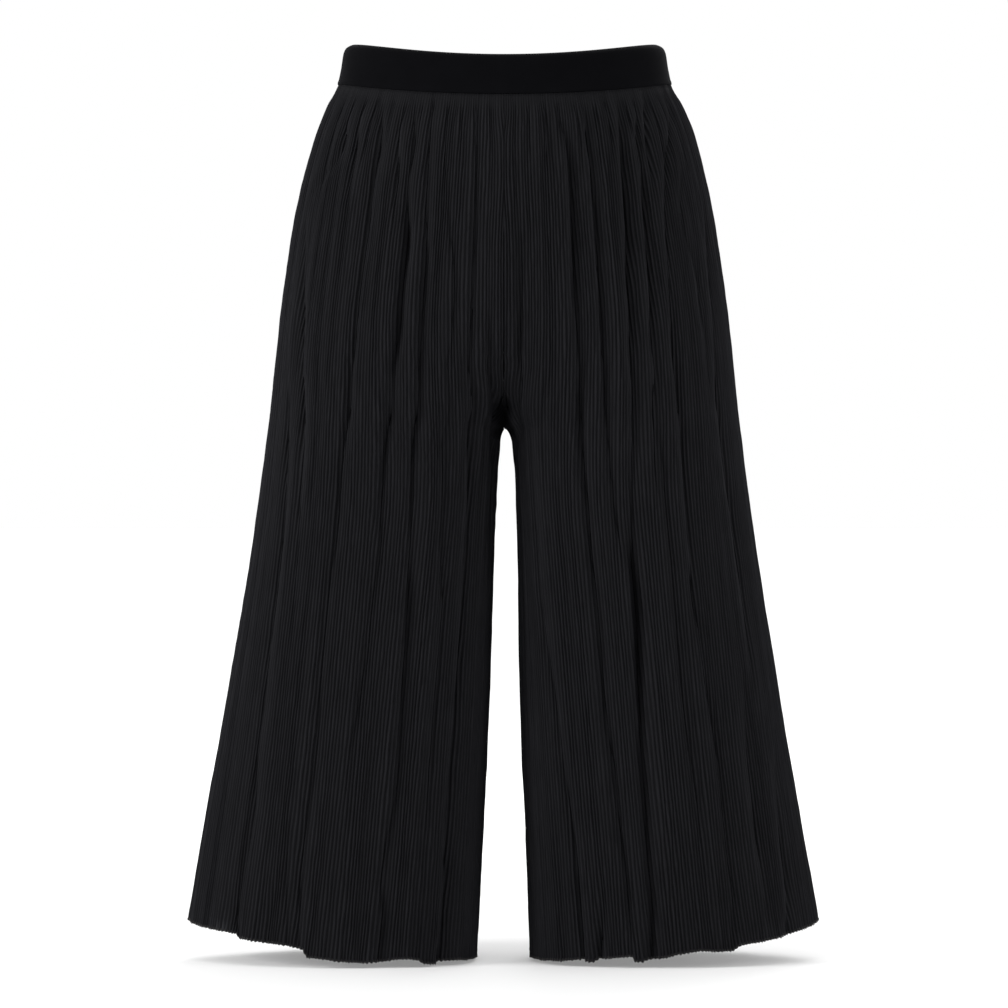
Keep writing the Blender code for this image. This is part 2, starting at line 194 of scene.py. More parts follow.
# The main folds from the top down: how fast each dies out towards the centre seam and towards the side seam,
# and its knots. A depth under 0 is a trough.
FOLD_COLUMNS = ("level", "s", "depth")
FOLD_ROWS = {
    "front_right_leg": (
        (0.0062, 0.0042, (
            (-0.034, 0.534, -0.0012), (-0.053, 0.516, -0.0032), (-0.095, 0.515, -0.0034),
            (-0.137, 0.511, -0.0026), (-0.179, 0.515, -0.0021), (-0.219, 0.515, -0.0027),
            (-0.278, 0.541, -0.0034), (-0.317, 0.554, -0.0029), (-0.371, 0.552, -0.0025),
            (-0.424, 0.558, -0.0023), (-0.476, 0.556, -0.0022), (-0.527, 0.549, -0.002),
            (-0.579, 0.551, -0.0017), (-0.616, 0.557, -0.0016), (-0.657, 0.548, -0.002),
            (-0.683, 0.538, -0.002),
        )),
        (0.0062, 0.004, (
            (-0.037, 0.379, -0.0011), (-0.054, 0.364, -0.0025), (-0.089, 0.369, -0.0026),
            (-0.115, 0.366, -0.0037), (-0.137, 0.358, -0.0057), (-0.179, 0.36, -0.0046),
            (-0.22, 0.364, -0.0055), (-0.258, 0.387, -0.0039), (-0.297, 0.407, -0.0043),
            (-0.344, 0.409, -0.003), (-0.398, 0.402, -0.0012), (-0.423, 0.412, -0.0012),
            (-0.473, 0.414, -0.0012), (-0.498, 0.426, -0.0015), (-0.547, 0.441, -0.0008),
            (-0.579, 0.431, -0.0002),
        )),
        (0.0062, 0.0042, (
            (-0.032, 0.305, -0.0012), (-0.072, 0.297, -0.0024), (-0.115, 0.29, -0.0019),
            (-0.158, 0.277, -0.0034), (-0.192, 0.279, -0.0044), (-0.239, 0.286, -0.0046),
            (-0.297, 0.323, -0.0044), (-0.344, 0.314, -0.0031), (-0.398, 0.303, -0.0027),
            (-0.423, 0.297, -0.0049), (-0.473, 0.29, -0.004), (-0.522, 0.284, -0.0031),
            (-0.564, 0.283, -0.0024), (-0.596, 0.3, -0.0016), (-0.621, 0.309, -0.002),
            (-0.646, 0.293, -0.0026), (-0.677, 0.292, -0.0031),
        )),
        (0.006, 0.0042, (
            (-0.062, 0.107, -0.001), (-0.106, 0.106, -0.002), (-0.141, 0.106, -0.0039),
            (-0.18, 0.106, -0.0032), (-0.22, 0.112, -0.003), (-0.258, 0.125, -0.0027),
            (-0.297, 0.123, -0.0039), (-0.344, 0.102, -0.0042), (-0.398, 0.097, -0.004),
            (-0.438, 0.092, -0.0037), (-0.473, 0.09, -0.0046), (-0.515, 0.094, -0.0031),
            (-0.546, 0.097, -0.0042), (-0.584, 0.098, -0.0033), (-0.621, 0.088, -0.0042),
            (-0.658, 0.086, -0.0042), (-0.676, 0.091, -0.0048),
        )),
        (0.0056, 0.0046, (
            (-0.121, 0.83, -0.0004), (-0.141, 0.814, -0.0015), (-0.178, 0.79, -0.0015),
            (-0.198, 0.769, -0.002), (-0.238, 0.744, -0.002), (-0.277, 0.723, -0.003),
            (-0.316, 0.707, -0.0023), (-0.348, 0.701, -0.0015), (-0.383, 0.687, -0.0009),
            (-0.425, 0.68, -0.0008), (-0.455, 0.675, -0.0002),
        )),
        (0.006, 0.0046, (
            (-0.229, 0.829, -0.0004), (-0.257, 0.814, -0.001), (-0.296, 0.798, -0.0021),
            (-0.344, 0.777, -0.0016), (-0.387, 0.773, -0.002), (-0.43, 0.772, -0.0022),
            (-0.461, 0.772, -0.0023), (-0.506, 0.765, -0.002), (-0.549, 0.765, -0.002),
            (-0.584, 0.747, -0.002), (-0.615, 0.751, -0.0015), (-0.64, 0.758, -0.0012),
            (-0.668, 0.763, -0.0021), (-0.683, 0.751, -0.0022),
        )),
        (0.0052, 0.0046, (
            (-0.102, 0.203, -0.0007), (-0.128, 0.198, -0.0015), (-0.171, 0.172, -0.0016),
            (-0.22, 0.179, -0.0015), (-0.258, 0.199, -0.0012), (-0.301, 0.225, -0.0015),
            (-0.344, 0.209, -0.0018), (-0.398, 0.199, -0.0015), (-0.424, 0.181, -0.0018),
            (-0.449, 0.178, -0.0018), (-0.488, 0.179, -0.0025), (-0.523, 0.179, -0.0027),
            (-0.558, 0.179, -0.0013), (-0.586, 0.176, -0.0004),
        )),
        (0.005, 0.005, (
            (-0.208, 0.05, -0.0008), (-0.227, 0.048, -0.0016), (-0.258, 0.048, -0.0021),
            (-0.296, -0.015, -0.0034), (-0.324, -0.05, -0.0027), (-0.371, -0.05, -0.0018),
            (-0.394, -0.057, -0.0006),
        )),
        (0.0056, 0.0046, (
            (-0.043, 0.718, -0.0004), (-0.059, 0.682, -0.0014), (-0.079, 0.713, -0.0008),
            (-0.1, 0.804, -0.0008), (-0.121, 0.8, -0.0003),
        )),
        (0.0052, 0.0044, (
            (-0.046, 0.627, -0.0007), (-0.07, 0.616, -0.0017), (-0.095, 0.615, -0.0011),
            (-0.112, 0.611, -0.0003),
        )),
        (0.0052, 0.0044, (
            (-0.04, 0.444, -0.0007), (-0.073, 0.419, -0.0022), (-0.094, 0.415, -0.0021),
            (-0.115, 0.417, -0.0012), (-0.133, 0.413, -0.0003),
        )),
        (0.0052, 0.0046, (
            (-0.611, 0.609, -0.0005), (-0.633, 0.601, -0.0013), (-0.659, 0.589, -0.0015),
            (-0.683, 0.577, -0.0012),
        )),
        (0.0052, 0.0046, (
            (-0.641, 0.631, -0.0006), (-0.661, 0.638, -0.0019), (-0.683, 0.637, -0.0016),
        )),
    ),
    "front_left_leg": (
        (0.004, 0.0062, (
            (-0.036, 0.226, -0.0009), (-0.05, 0.242, -0.0022), (-0.072, 0.254, -0.0054),
            (-0.093, 0.255, -0.0056), (-0.137, 0.252, -0.0054), (-0.18, 0.245, -0.0055),
            (-0.22, 0.247, -0.004), (-0.258, 0.265, -0.004), (-0.278, 0.28, -0.0046),
            (-0.309, 0.279, -0.0036), (-0.356, 0.282, -0.0031), (-0.398, 0.279, -0.0028),
            (-0.424, 0.285, -0.0026), (-0.474, 0.282, -0.0034), (-0.499, 0.281, -0.0033),
            (-0.524, 0.288, -0.0031), (-0.548, 0.294, -0.0031), (-0.573, 0.294, -0.0033),
            (-0.597, 0.297, -0.0043), (-0.621, 0.303, -0.0033), (-0.655, 0.3, -0.0025),
        )),
        (0.004, 0.006, (
            (-0.035, 0.341, -0.0017), (-0.051, 0.332, -0.0043), (-0.072, 0.333, -0.004),
            (-0.094, 0.332, -0.0036), (-0.115, 0.336, -0.0047), (-0.158, 0.333, -0.0043),
            (-0.2, 0.331, -0.0045), (-0.239, 0.333, -0.0039), (-0.278, 0.362, -0.0039),
            (-0.313, 0.366, -0.002), (-0.371, 0.372, -0.0019), (-0.394, 0.38, -0.0006),
        )),
        (0.0038, 0.0064, (
            (-0.034, 0.498, -0.0012), (-0.052, 0.477, -0.0028), (-0.073, 0.473, -0.0054),
            (-0.094, 0.468, -0.0052), (-0.137, 0.46, -0.0066), (-0.179, 0.443, -0.0055),
            (-0.2, 0.442, -0.006), (-0.239, 0.432, -0.0045), (-0.27, 0.447, -0.0036),
            (-0.297, 0.443, -0.0039), (-0.332, 0.429, -0.0025), (-0.371, 0.42, -0.0033),
            (-0.398, 0.41, -0.0063), (-0.424, 0.41, -0.008), (-0.449, 0.406, -0.0082),
            (-0.488, 0.394, -0.0069), (-0.523, 0.386, -0.006), (-0.565, 0.381, -0.0054),
            (-0.597, 0.378, -0.0052), (-0.622, 0.377, -0.0043), (-0.648, 0.373, -0.0052),
            (-0.682, 0.36, -0.0054),
        )),
        (0.004, 0.0058, (
            (-0.035, 0.582, -0.001), (-0.053, 0.556, -0.0031), (-0.074, 0.553, -0.0025),
            (-0.099, 0.547, -0.0043), (-0.137, 0.538, -0.0041), (-0.179, 0.529, -0.0047),
            (-0.219, 0.513, -0.0043), (-0.258, 0.517, -0.0031), (-0.297, 0.517, -0.0025),
            (-0.324, 0.512, -0.002), (-0.348, 0.515, -0.0013), (-0.371, 0.513, -0.0004),
        )),
        (0.0038, 0.0052, (
            (-0.026, 0.65, -0.0012), (-0.035, 0.63, -0.0028), (-0.058, 0.605, -0.0036),
            (-0.078, 0.596, -0.0026), (-0.091, 0.59, -0.0006),
        )),
        (0.0044, 0.006, (
            (-0.037, 0.777, -0.0008), (-0.055, 0.722, -0.0017), (-0.091, 0.653, -0.0016),
            (-0.137, 0.621, -0.0022), (-0.179, 0.605, -0.0016), (-0.207, 0.599, -0.0028),
            (-0.238, 0.598, -0.0039), (-0.27, 0.613, -0.0037), (-0.309, 0.616, -0.0043),
            (-0.344, 0.614, -0.0037), (-0.387, 0.612, -0.0032), (-0.424, 0.605, -0.0023),
            (-0.45, 0.611, -0.0017), (-0.483, 0.613, -0.0013), (-0.528, 0.633, -0.0023),
            (-0.565, 0.635, -0.0017), (-0.605, 0.628, -0.0019), (-0.64, 0.634, -0.0016),
            (-0.668, 0.622, -0.0017),
        )),
        (0.0046, 0.0056, (
            (-0.08, 0.747, -0.0004), (-0.1, 0.725, -0.0014), (-0.133, 0.703, -0.0008),
            (-0.158, 0.734, -0.001), (-0.178, 0.743, -0.0016), (-0.202, 0.737, -0.0012),
            (-0.218, 0.748, -0.0011), (-0.241, 0.743, -0.0006), (-0.261, 0.747, -0.0002),
        )),
        (0.0044, 0.0056, (
            (-0.121, 0.857, -0.0005), (-0.137, 0.845, -0.0014), (-0.165, 0.829, -0.0015),
            (-0.197, 0.811, -0.0011), (-0.229, 0.802, -0.0016), (-0.273, 0.8, -0.0033),
            (-0.296, 0.807, -0.004), (-0.328, 0.809, -0.0039), (-0.36, 0.82, -0.0037),
            (-0.399, 0.822, -0.0023), (-0.426, 0.826, -0.002), (-0.457, 0.819, -0.0013),
            (-0.476, 0.813, -0.0004),
        )),
        (0.0046, 0.0056, (
            (-0.301, 0.536, -0.0008), (-0.317, 0.541, -0.0017), (-0.363, 0.539, -0.0019),
            (-0.409, 0.535, -0.0014), (-0.45, 0.535, -0.0021), (-0.49, 0.534, -0.0026),
            (-0.515, 0.539, -0.0023), (-0.551, 0.543, -0.0016), (-0.577, 0.547, -0.0014),
            (-0.598, 0.547, -0.0004),
        )),
        (0.005, 0.0056, (
            (-0.431, 0.09, -0.0006), (-0.456, 0.094, -0.0014), (-0.495, 0.112, -0.0019),
            (-0.53, 0.125, -0.0019), (-0.565, 0.133, -0.0025), (-0.597, 0.142, -0.0033),
            (-0.622, 0.147, -0.0031), (-0.648, 0.145, -0.0036), (-0.679, 0.145, -0.0037),
        )),
        (0.0046, 0.0052, (
            (-0.494, 0.773, -0.0009), (-0.546, 0.752, -0.002), (-0.583, 0.751, -0.0026),
            (-0.61, 0.749, -0.0027), (-0.64, 0.749, -0.0013), (-0.663, 0.745, -0.001),
        )),
        (0.0046, 0.0052, (
            (-0.55, 0.88, -0.0008), (-0.58, 0.858, -0.0013), (-0.615, 0.851, -0.0025),
            (-0.642, 0.85, -0.0029), (-0.676, 0.824, -0.0022),
        )),
        (0.0052, 0.0056, (
            (-0.141, 0.068, -0.0009), (-0.167, 0.063, -0.0019), (-0.2, 0.059, -0.0023),
            (-0.22, 0.055, -0.0033), (-0.239, 0.053, -0.0028), (-0.27, 0.067, -0.0016),
            (-0.308, -0.025, -0.0013), (-0.332, -0.184, -0.0004),
        )),
        (0.0042, 0.005, (
            (-0.631, 0.232, -0.0006), (-0.649, 0.222, -0.0016), (-0.679, 0.203, -0.0043),
        )),
        (0.0046, 0.0052, (
            (-0.038, 0.187, -0.0008), (-0.053, 0.181, -0.0013), (-0.076, 0.183, -0.0008),
            (-0.089, 0.184, -0.0002),
        )),
    ),
    "back_right_leg": (
        (0.0064, 0.0069, (
            (-0.025, 0.205, -0.0014), (-0.08, 0.2, -0.0046), (-0.18, 0.202, -0.0056),
            (-0.28, 0.205, -0.0048), (-0.38, 0.222, -0.0026), (-0.48, 0.22, -0.005), (-0.59, 0.21, -0.0062),
            (-0.683, 0.205, -0.0066),
        )),
        (0.0056, 0.0074, (
            (-0.025, 0.412, -0.0018), (-0.07, 0.42, -0.005), (-0.16, 0.428, -0.0058),
            (-0.25, 0.44, -0.0034), (-0.34, 0.45, -0.0008),
        )),
        (0.006, 0.0075, (
            (-0.05, 0.65, -0.001), (-0.11, 0.64, -0.0044), (-0.2, 0.618, -0.0042), (-0.29, 0.606, -0.0008),
        )),
        (0.0053, 0.0097, (
            (-0.38, 0.455, -0.0008), (-0.47, 0.462, -0.005), (-0.58, 0.476, -0.0064),
            (-0.683, 0.48, -0.0068),
        )),
        (0.0067, 0.009, (
            (-0.43, 0.705, -0.0008), (-0.54, 0.712, -0.0044), (-0.683, 0.722, -0.004),
        )),
        (0.0063, 0.0063, (
            (-0.06, 0.31, -0.0008), (-0.12, 0.305, -0.0034), (-0.22, 0.312, -0.0028),
            (-0.33, 0.32, -0.0006),
        )),
        (0.0073, 0.0055, (
            (-0.46, 0.075, -0.0006), (-0.57, 0.08, -0.0042), (-0.683, 0.086, -0.0052),
        )),
        (0.0075, 0.0065, (
            (-0.54, 0.34, -0.0006), (-0.683, 0.345, -0.004),
        )),
        (0.005, 0.006, (
            (-0.03, 0.52, -0.0012), (-0.075, 0.516, -0.0034), (-0.15, 0.508, -0.0036),
            (-0.24, 0.512, -0.0028), (-0.33, 0.52, -0.0024), (-0.4, 0.545, -0.0006),
        )),
        (0.0052, 0.006, (
            (-0.12, 0.775, -0.0008), (-0.18, 0.79, -0.003), (-0.3, 0.8, -0.0036), (-0.42, 0.812, -0.003),
            (-0.54, 0.828, -0.0034), (-0.683, 0.836, -0.003),
        )),
        (0.005, 0.0056, (
            (-0.12, 0.09, -0.0006), (-0.19, 0.086, -0.0026), (-0.27, 0.07, -0.0024), (-0.35, 0.04, -0.002),
            (-0.43, 0.02, -0.0006),
        )),
        (0.005, 0.0056, (
            (-0.6, 0.61, -0.0008), (-0.64, 0.604, -0.0028), (-0.683, 0.6, -0.0036),
        )),
    ),
    "back_left_leg": (
        (0.0064, 0.0068, (
            (-0.025, 0.165, -0.0014), (-0.09, 0.16, -0.0042), (-0.19, 0.162, -0.0052),
            (-0.28, 0.16, -0.004), (-0.37, 0.13, -0.002), (-0.48, 0.1, -0.004), (-0.59, 0.094, -0.0054),
            (-0.683, 0.09, -0.0056),
        )),
        (0.0065, 0.0065, (
            (-0.025, 0.35, -0.0018), (-0.06, 0.345, -0.0052), (-0.15, 0.342, -0.0058),
            (-0.25, 0.336, -0.0054), (-0.34, 0.318, -0.003), (-0.43, 0.302, -0.0042),
            (-0.56, 0.312, -0.006), (-0.683, 0.322, -0.0066),
        )),
        (0.0056, 0.0075, (
            (-0.04, 0.552, -0.0012), (-0.1, 0.562, -0.0048), (-0.19, 0.58, -0.0044),
            (-0.28, 0.592, -0.0008),
        )),
        (0.0053, 0.0097, (
            (-0.37, 0.552, -0.0008), (-0.46, 0.55, -0.0048), (-0.57, 0.54, -0.0062),
            (-0.683, 0.53, -0.0068),
        )),
        (0.0063, 0.0063, (
            (-0.07, 0.46, -0.0008), (-0.13, 0.455, -0.0036), (-0.21, 0.462, -0.0026), (-0.3, 0.47, -0.0006),
        )),
        (0.0067, 0.009, (
            (-0.45, 0.77, -0.0008), (-0.56, 0.76, -0.004), (-0.683, 0.745, -0.004),
        )),
        (0.007, 0.007, (
            (-0.56, 0.43, -0.0006), (-0.683, 0.425, -0.0038),
        )),
        (0.005, 0.006, (
            (-0.03, 0.255, -0.0012), (-0.08, 0.25, -0.0032), (-0.16, 0.246, -0.0034),
            (-0.25, 0.25, -0.0026), (-0.34, 0.24, -0.0024), (-0.45, 0.214, -0.0028), (-0.56, 0.206, -0.002),
            (-0.64, 0.202, -0.0006),
        )),
        (0.005, 0.006, (
            (-0.06, 0.672, -0.0008), (-0.12, 0.68, -0.0034), (-0.22, 0.69, -0.0036), (-0.33, 0.684, -0.003),
            (-0.44, 0.664, -0.0034), (-0.56, 0.65, -0.0038), (-0.683, 0.64, -0.0034),
        )),
        (0.0052, 0.0058, (
            (-0.14, 0.82, -0.0008), (-0.22, 0.832, -0.003), (-0.33, 0.842, -0.0034),
            (-0.46, 0.856, -0.0028), (-0.6, 0.866, -0.003), (-0.683, 0.868, -0.0026),
        )),
        (0.005, 0.0056, (
            (-0.2, 0.06, -0.0006), (-0.27, 0.05, -0.0024), (-0.35, 0.01, -0.0024), (-0.44, -0.02, -0.001),
        )),
    ),
}

# Gathers just under the waistband: where, how long, how strong and how wide each group of tight pleats is.
GATHER_COLUMNS = ("s", "length", "strength", "half_width", "lean")
GATHER_ROWS = {
    "front_right_leg": (
        (0.062, 0.034, 0.5, 0.0026, 0.006), (0.118, 0.052, 0.83, 0.0027, 0.008),
        (0.176, 0.04, 0.67, 0.0024, 0.004), (0.236, 0.06, 1.0, 0.0029, 0.01),
        (0.3, 0.044, 0.75, 0.0026, -0.004), (0.352, 0.036, 0.83, 0.0024, 0.006),
        (0.428, 0.07, 1.0, 0.0029, 0.01), (0.484, 0.042, 0.75, 0.0026, 0.008),
        (0.566, 0.05, 0.92, 0.0027, -0.006), (0.63, 0.064, 1.0, 0.0027, 0.01),
        (0.702, 0.046, 0.83, 0.0027, 0.008), (0.77, 0.072, 0.92, 0.0031, 0.012),
        (0.846, 0.05, 0.75, 0.0029, 0.008), (0.918, 0.04, 0.5, 0.0029, 0.004),
    ),
    "front_left_leg": (
        (0.05, 0.03, 0.42, 0.0024, 0.004), (0.104, 0.046, 0.75, 0.0026, 0.008),
        (0.168, 0.058, 0.92, 0.0027, 0.012), (0.222, 0.036, 0.75, 0.0024, 0.008),
        (0.296, 0.048, 0.92, 0.0026, -0.006), (0.386, 0.056, 1.0, 0.0029, 0.01),
        (0.44, 0.038, 0.83, 0.0026, 0.008), (0.528, 0.062, 1.08, 0.0029, -0.008),
        (0.58, 0.044, 0.92, 0.0026, 0.006), (0.676, 0.07, 1.08, 0.0027, 0.012),
        (0.73, 0.048, 0.92, 0.0027, 0.008), (0.794, 0.06, 1.0, 0.0029, 0.01),
        (0.862, 0.052, 0.83, 0.0029, 0.006), (0.926, 0.036, 0.5, 0.0029, 0.004),
    ),
    "back_right_leg": (
        (0.054, 0.04, 0.58, 0.0026, 0.006), (0.112, 0.056, 0.83, 0.0027, 0.008),
        (0.17, 0.034, 0.75, 0.0024, 0.004), (0.256, 0.062, 1.0, 0.0029, 0.01),
        (0.338, 0.046, 0.83, 0.0026, -0.006), (0.386, 0.052, 0.92, 0.0026, 0.006),
        (0.47, 0.06, 1.0, 0.0029, 0.01), (0.54, 0.04, 0.83, 0.0026, 0.006),
        (0.606, 0.066, 1.0, 0.0029, -0.008), (0.7, 0.048, 0.92, 0.0027, 0.01),
        (0.764, 0.058, 0.92, 0.0029, 0.008), (0.836, 0.044, 0.75, 0.0029, 0.006),
        (0.916, 0.036, 0.5, 0.0029, 0.004),
    ),
    "back_left_leg": (
        (0.06, 0.036, 0.5, 0.0026, 0.004), (0.122, 0.048, 0.75, 0.0026, 0.008),
        (0.206, 0.06, 0.92, 0.0029, 0.01), (0.268, 0.042, 0.83, 0.0026, 0.006),
        (0.314, 0.034, 0.75, 0.0024, -0.004), (0.396, 0.064, 1.0, 0.0029, 0.01),
        (0.452, 0.04, 0.83, 0.0026, 0.008), (0.516, 0.052, 0.92, 0.0027, -0.006),
        (0.6, 0.058, 1.0, 0.0029, 0.008), (0.664, 0.042, 0.83, 0.0026, 0.01),
        (0.738, 0.066, 1.0, 0.0029, 0.01), (0.812, 0.05, 0.83, 0.0029, 0.008),
        (0.88, 0.038, 0.67, 0.0029, 0.004), (0.94, 0.03, 0.42, 0.0029, 0.002),
    ),
}

FOLD_SHARPNESS = 1.35  # 2 is a round trough, 1 a crease
FOLD_START = 0.0120  # the heights over which a fold begins and ends
FOLD_END = 0.0200
FOLD_SHADE_DEPTH = 0.0060  # the depth of a fold at which its painted shade is full
# how dark the painted shade in the folds' troughs gets
FOLD_SHADE = 0.80
GATHER_START = 0.0050
GATHER_DEPTH = 0.0016
GATHER_ZONE = 0.0900
EDGE_FADE = 0.0450  # folds die out over this much of s beside a seam
PANEL_SPAN = 0.2400  # metres for s from 0 to 1, near enough for a fold's width
FACING_STEP_S = 0.0040
FACING_STEP_LEVEL = 0.0008
LEVEL_FACING = 0.0200
SQUARE_ZONE = 0.0200  # over this height from a seam the pleats come to stand square on the folds
SHORTEST = 1e-12

# Unevenness: the size of each set of waves, how many there are across and how fast they change going down.
WAVE_COLUMNS = ("size", "cycles", "drift")
SWELL_WAVES = ((1.0, 7.0, 2.0), (0.6, 13.0, 4.0))
SWELL_START = 0.0300
LEAN_ROWS = ((0.0045, 11.0, 4.0), (0.0045, 5.0, 4.5), (0.0012, 14.0, 3.0), (0.0011, 26.0, 28.0))
LEAN_ZONE = 0.1300  # the first row acts near the waist, and the second takes over by here
LEAN_FADE = 0.0400
DRAWN_IN = 0.0130  # how far the front pleats beside the centre seam lean to it
DRAWN_IN_WIDTH = 0.0900
DRAWN_IN_LEVELS = (-0.0250, -0.0600, -0.0750, -0.1500)

# Fine pleats
PLEAT_ROUND = 0.55  # 0 is a zigzag, 1 a wave
PLEAT_HEIGHTS = (0.70, 1.15)
PLEAT_WAVES = ((0.22, 16.0, 12.0), (0.16, 40.0, 60.0))
PLEAT_HELD = 0.30  # the height that the band leaves them
PLEAT_START = 0.0020
PLEAT_RISE = 0.0160
DIM_TOP = 0.40  # painted shade: the cloth's crests are darker below the band and near the hem
DIM_TOP_ZONE = 0.2400
DIM_FOOT = 0.16
DIM_FOOT_START = -0.5200
DIM_FOOT_ZONE = 0.1500

# Edges
BAND_FLUSH = 0.0009  # the cloth starts this much further out, level with the band's face
FLUSH_ZONE = 0.0100
SCALLOP = 0.0011  # how far the pleats' crests hang below their valleys at the hem
SCALLOP_HEIGHT = 0.0050
TURN_GAP = 0.0006  # turned-in cloth stays this far from its neighbour's
# the painted shade of cloth turned in at the seams and behind the band
TURNED_SHADE = 0.15
TUCK_BACK = 0.0033  # the top edge goes back behind the band and then up
TUCK_LIFT = 0.0001
TUCK_LEAN = 0.0006
TUCK_HEIGHT = 0.0085

# Where light shows through a single layer at the hem.
GLOW_COLUMNS = ("s", "half_width", "height", "strength")
GLOW_ROWS = {
    "front_right_leg": ((0.815, 0.045, 0.0100, 0.30), (0.390, 0.130, 0.0240, 0.05)),
    "front_left_leg": ((0.720, 0.100, 0.0120, 0.05),),
}

CUT_ROWS = {"front": (0.310, 0.520, 0.700), "back": (0.315, 0.530, 0.700)}

WAVE_SCALE = 0.314  # a wave texture of this scale has one band to a metre
FLOOR_REACH = 60.0
SOFTBOX_COLUMNS = ("name", "place", "aim", "size", "share")
SOFTBOX_ROWS = (
    ("softbox_above", (0.0, -0.4, 2.0), (0.0, 0.0, -0.4), 1.2, 0.15),
    ("softbox_left", (-2.8, -1.2, 0.6), (0.0, 0.0, -0.35), 1.0, 1.25),
    ("softbox_right", (2.8, -1.2, 0.4), (0.0, 0.0, -0.35), 1.4, 0.48),
    ("softbox_behind", (0.6, 2.4, 1.8), (0.0, 0.0, -0.35), 1.8, 0.85),
)


def ease(x):
    """0 below 0, 1 above 1, and a soft step between."""
    x = np.clip(x, 0.0, 1.0)
    return x * x * (3.0 - 2.0 * x)


def below_band(level, length):
    """0 at the band, 1 from that length below it, and a soft step between."""
    return ease((PANEL_TOP - level) / length)


def within(level, levels):
    """1 between the middle two of four falling levels, 0 outside them all, and a soft step between."""
    start, full, last, end = levels
    return ease((start - level) / (start - full)) * ease((level - end) / (last - end))


def curve(t, run, start, end, start_slope, end_slope):
    """A smooth curve from start to end at t of the way along its run, by its slopes at both ends."""
    bend = (1 - t) * (start_slope * run - end + start) - t * (end_slope * run - end + start)
    return start + t * (end - start) + t * (1 - t) * bend


def through(knots, values, at):
    """A smooth curve through values at falling knots."""
    knots, values, at = np.asarray(knots, float), np.asarray(values, float), np.asarray(at, float)
    slopes = np.gradient(values, knots)
    i = np.clip(np.searchsorted(-knots, -at) - 1, 0, len(knots) - 2)
    run = knots[i + 1] - knots[i]
    t = np.clip((at - knots[i]) / run, 0.0, 1.0)
    return curve(t, run, values[i], values[i + 1], slopes[i], slopes[i + 1])


def columns(names, rows):
    """A table's columns by name."""
    return dict(zip(names, np.array(rows, float).T))


def between(table, i, j, t, u):
    """A table's value t of the way from its row i to the next and u of the way from its column j."""
    over = table[i, j] * (1 - u) + table[i, j + 1] * u
    under = table[i + 1, j] * (1 - u) + table[i + 1, j + 1] * u
    return over * (1 - t) + under * t


def draws(panel, first=0):
    """Random numbers that are the same for a panel at each run."""
    return np.random.default_rng(first + sum(map(ord, panel)))


LEVELS = columns(LEVEL_COLUMNS, LEVEL_ROWS)


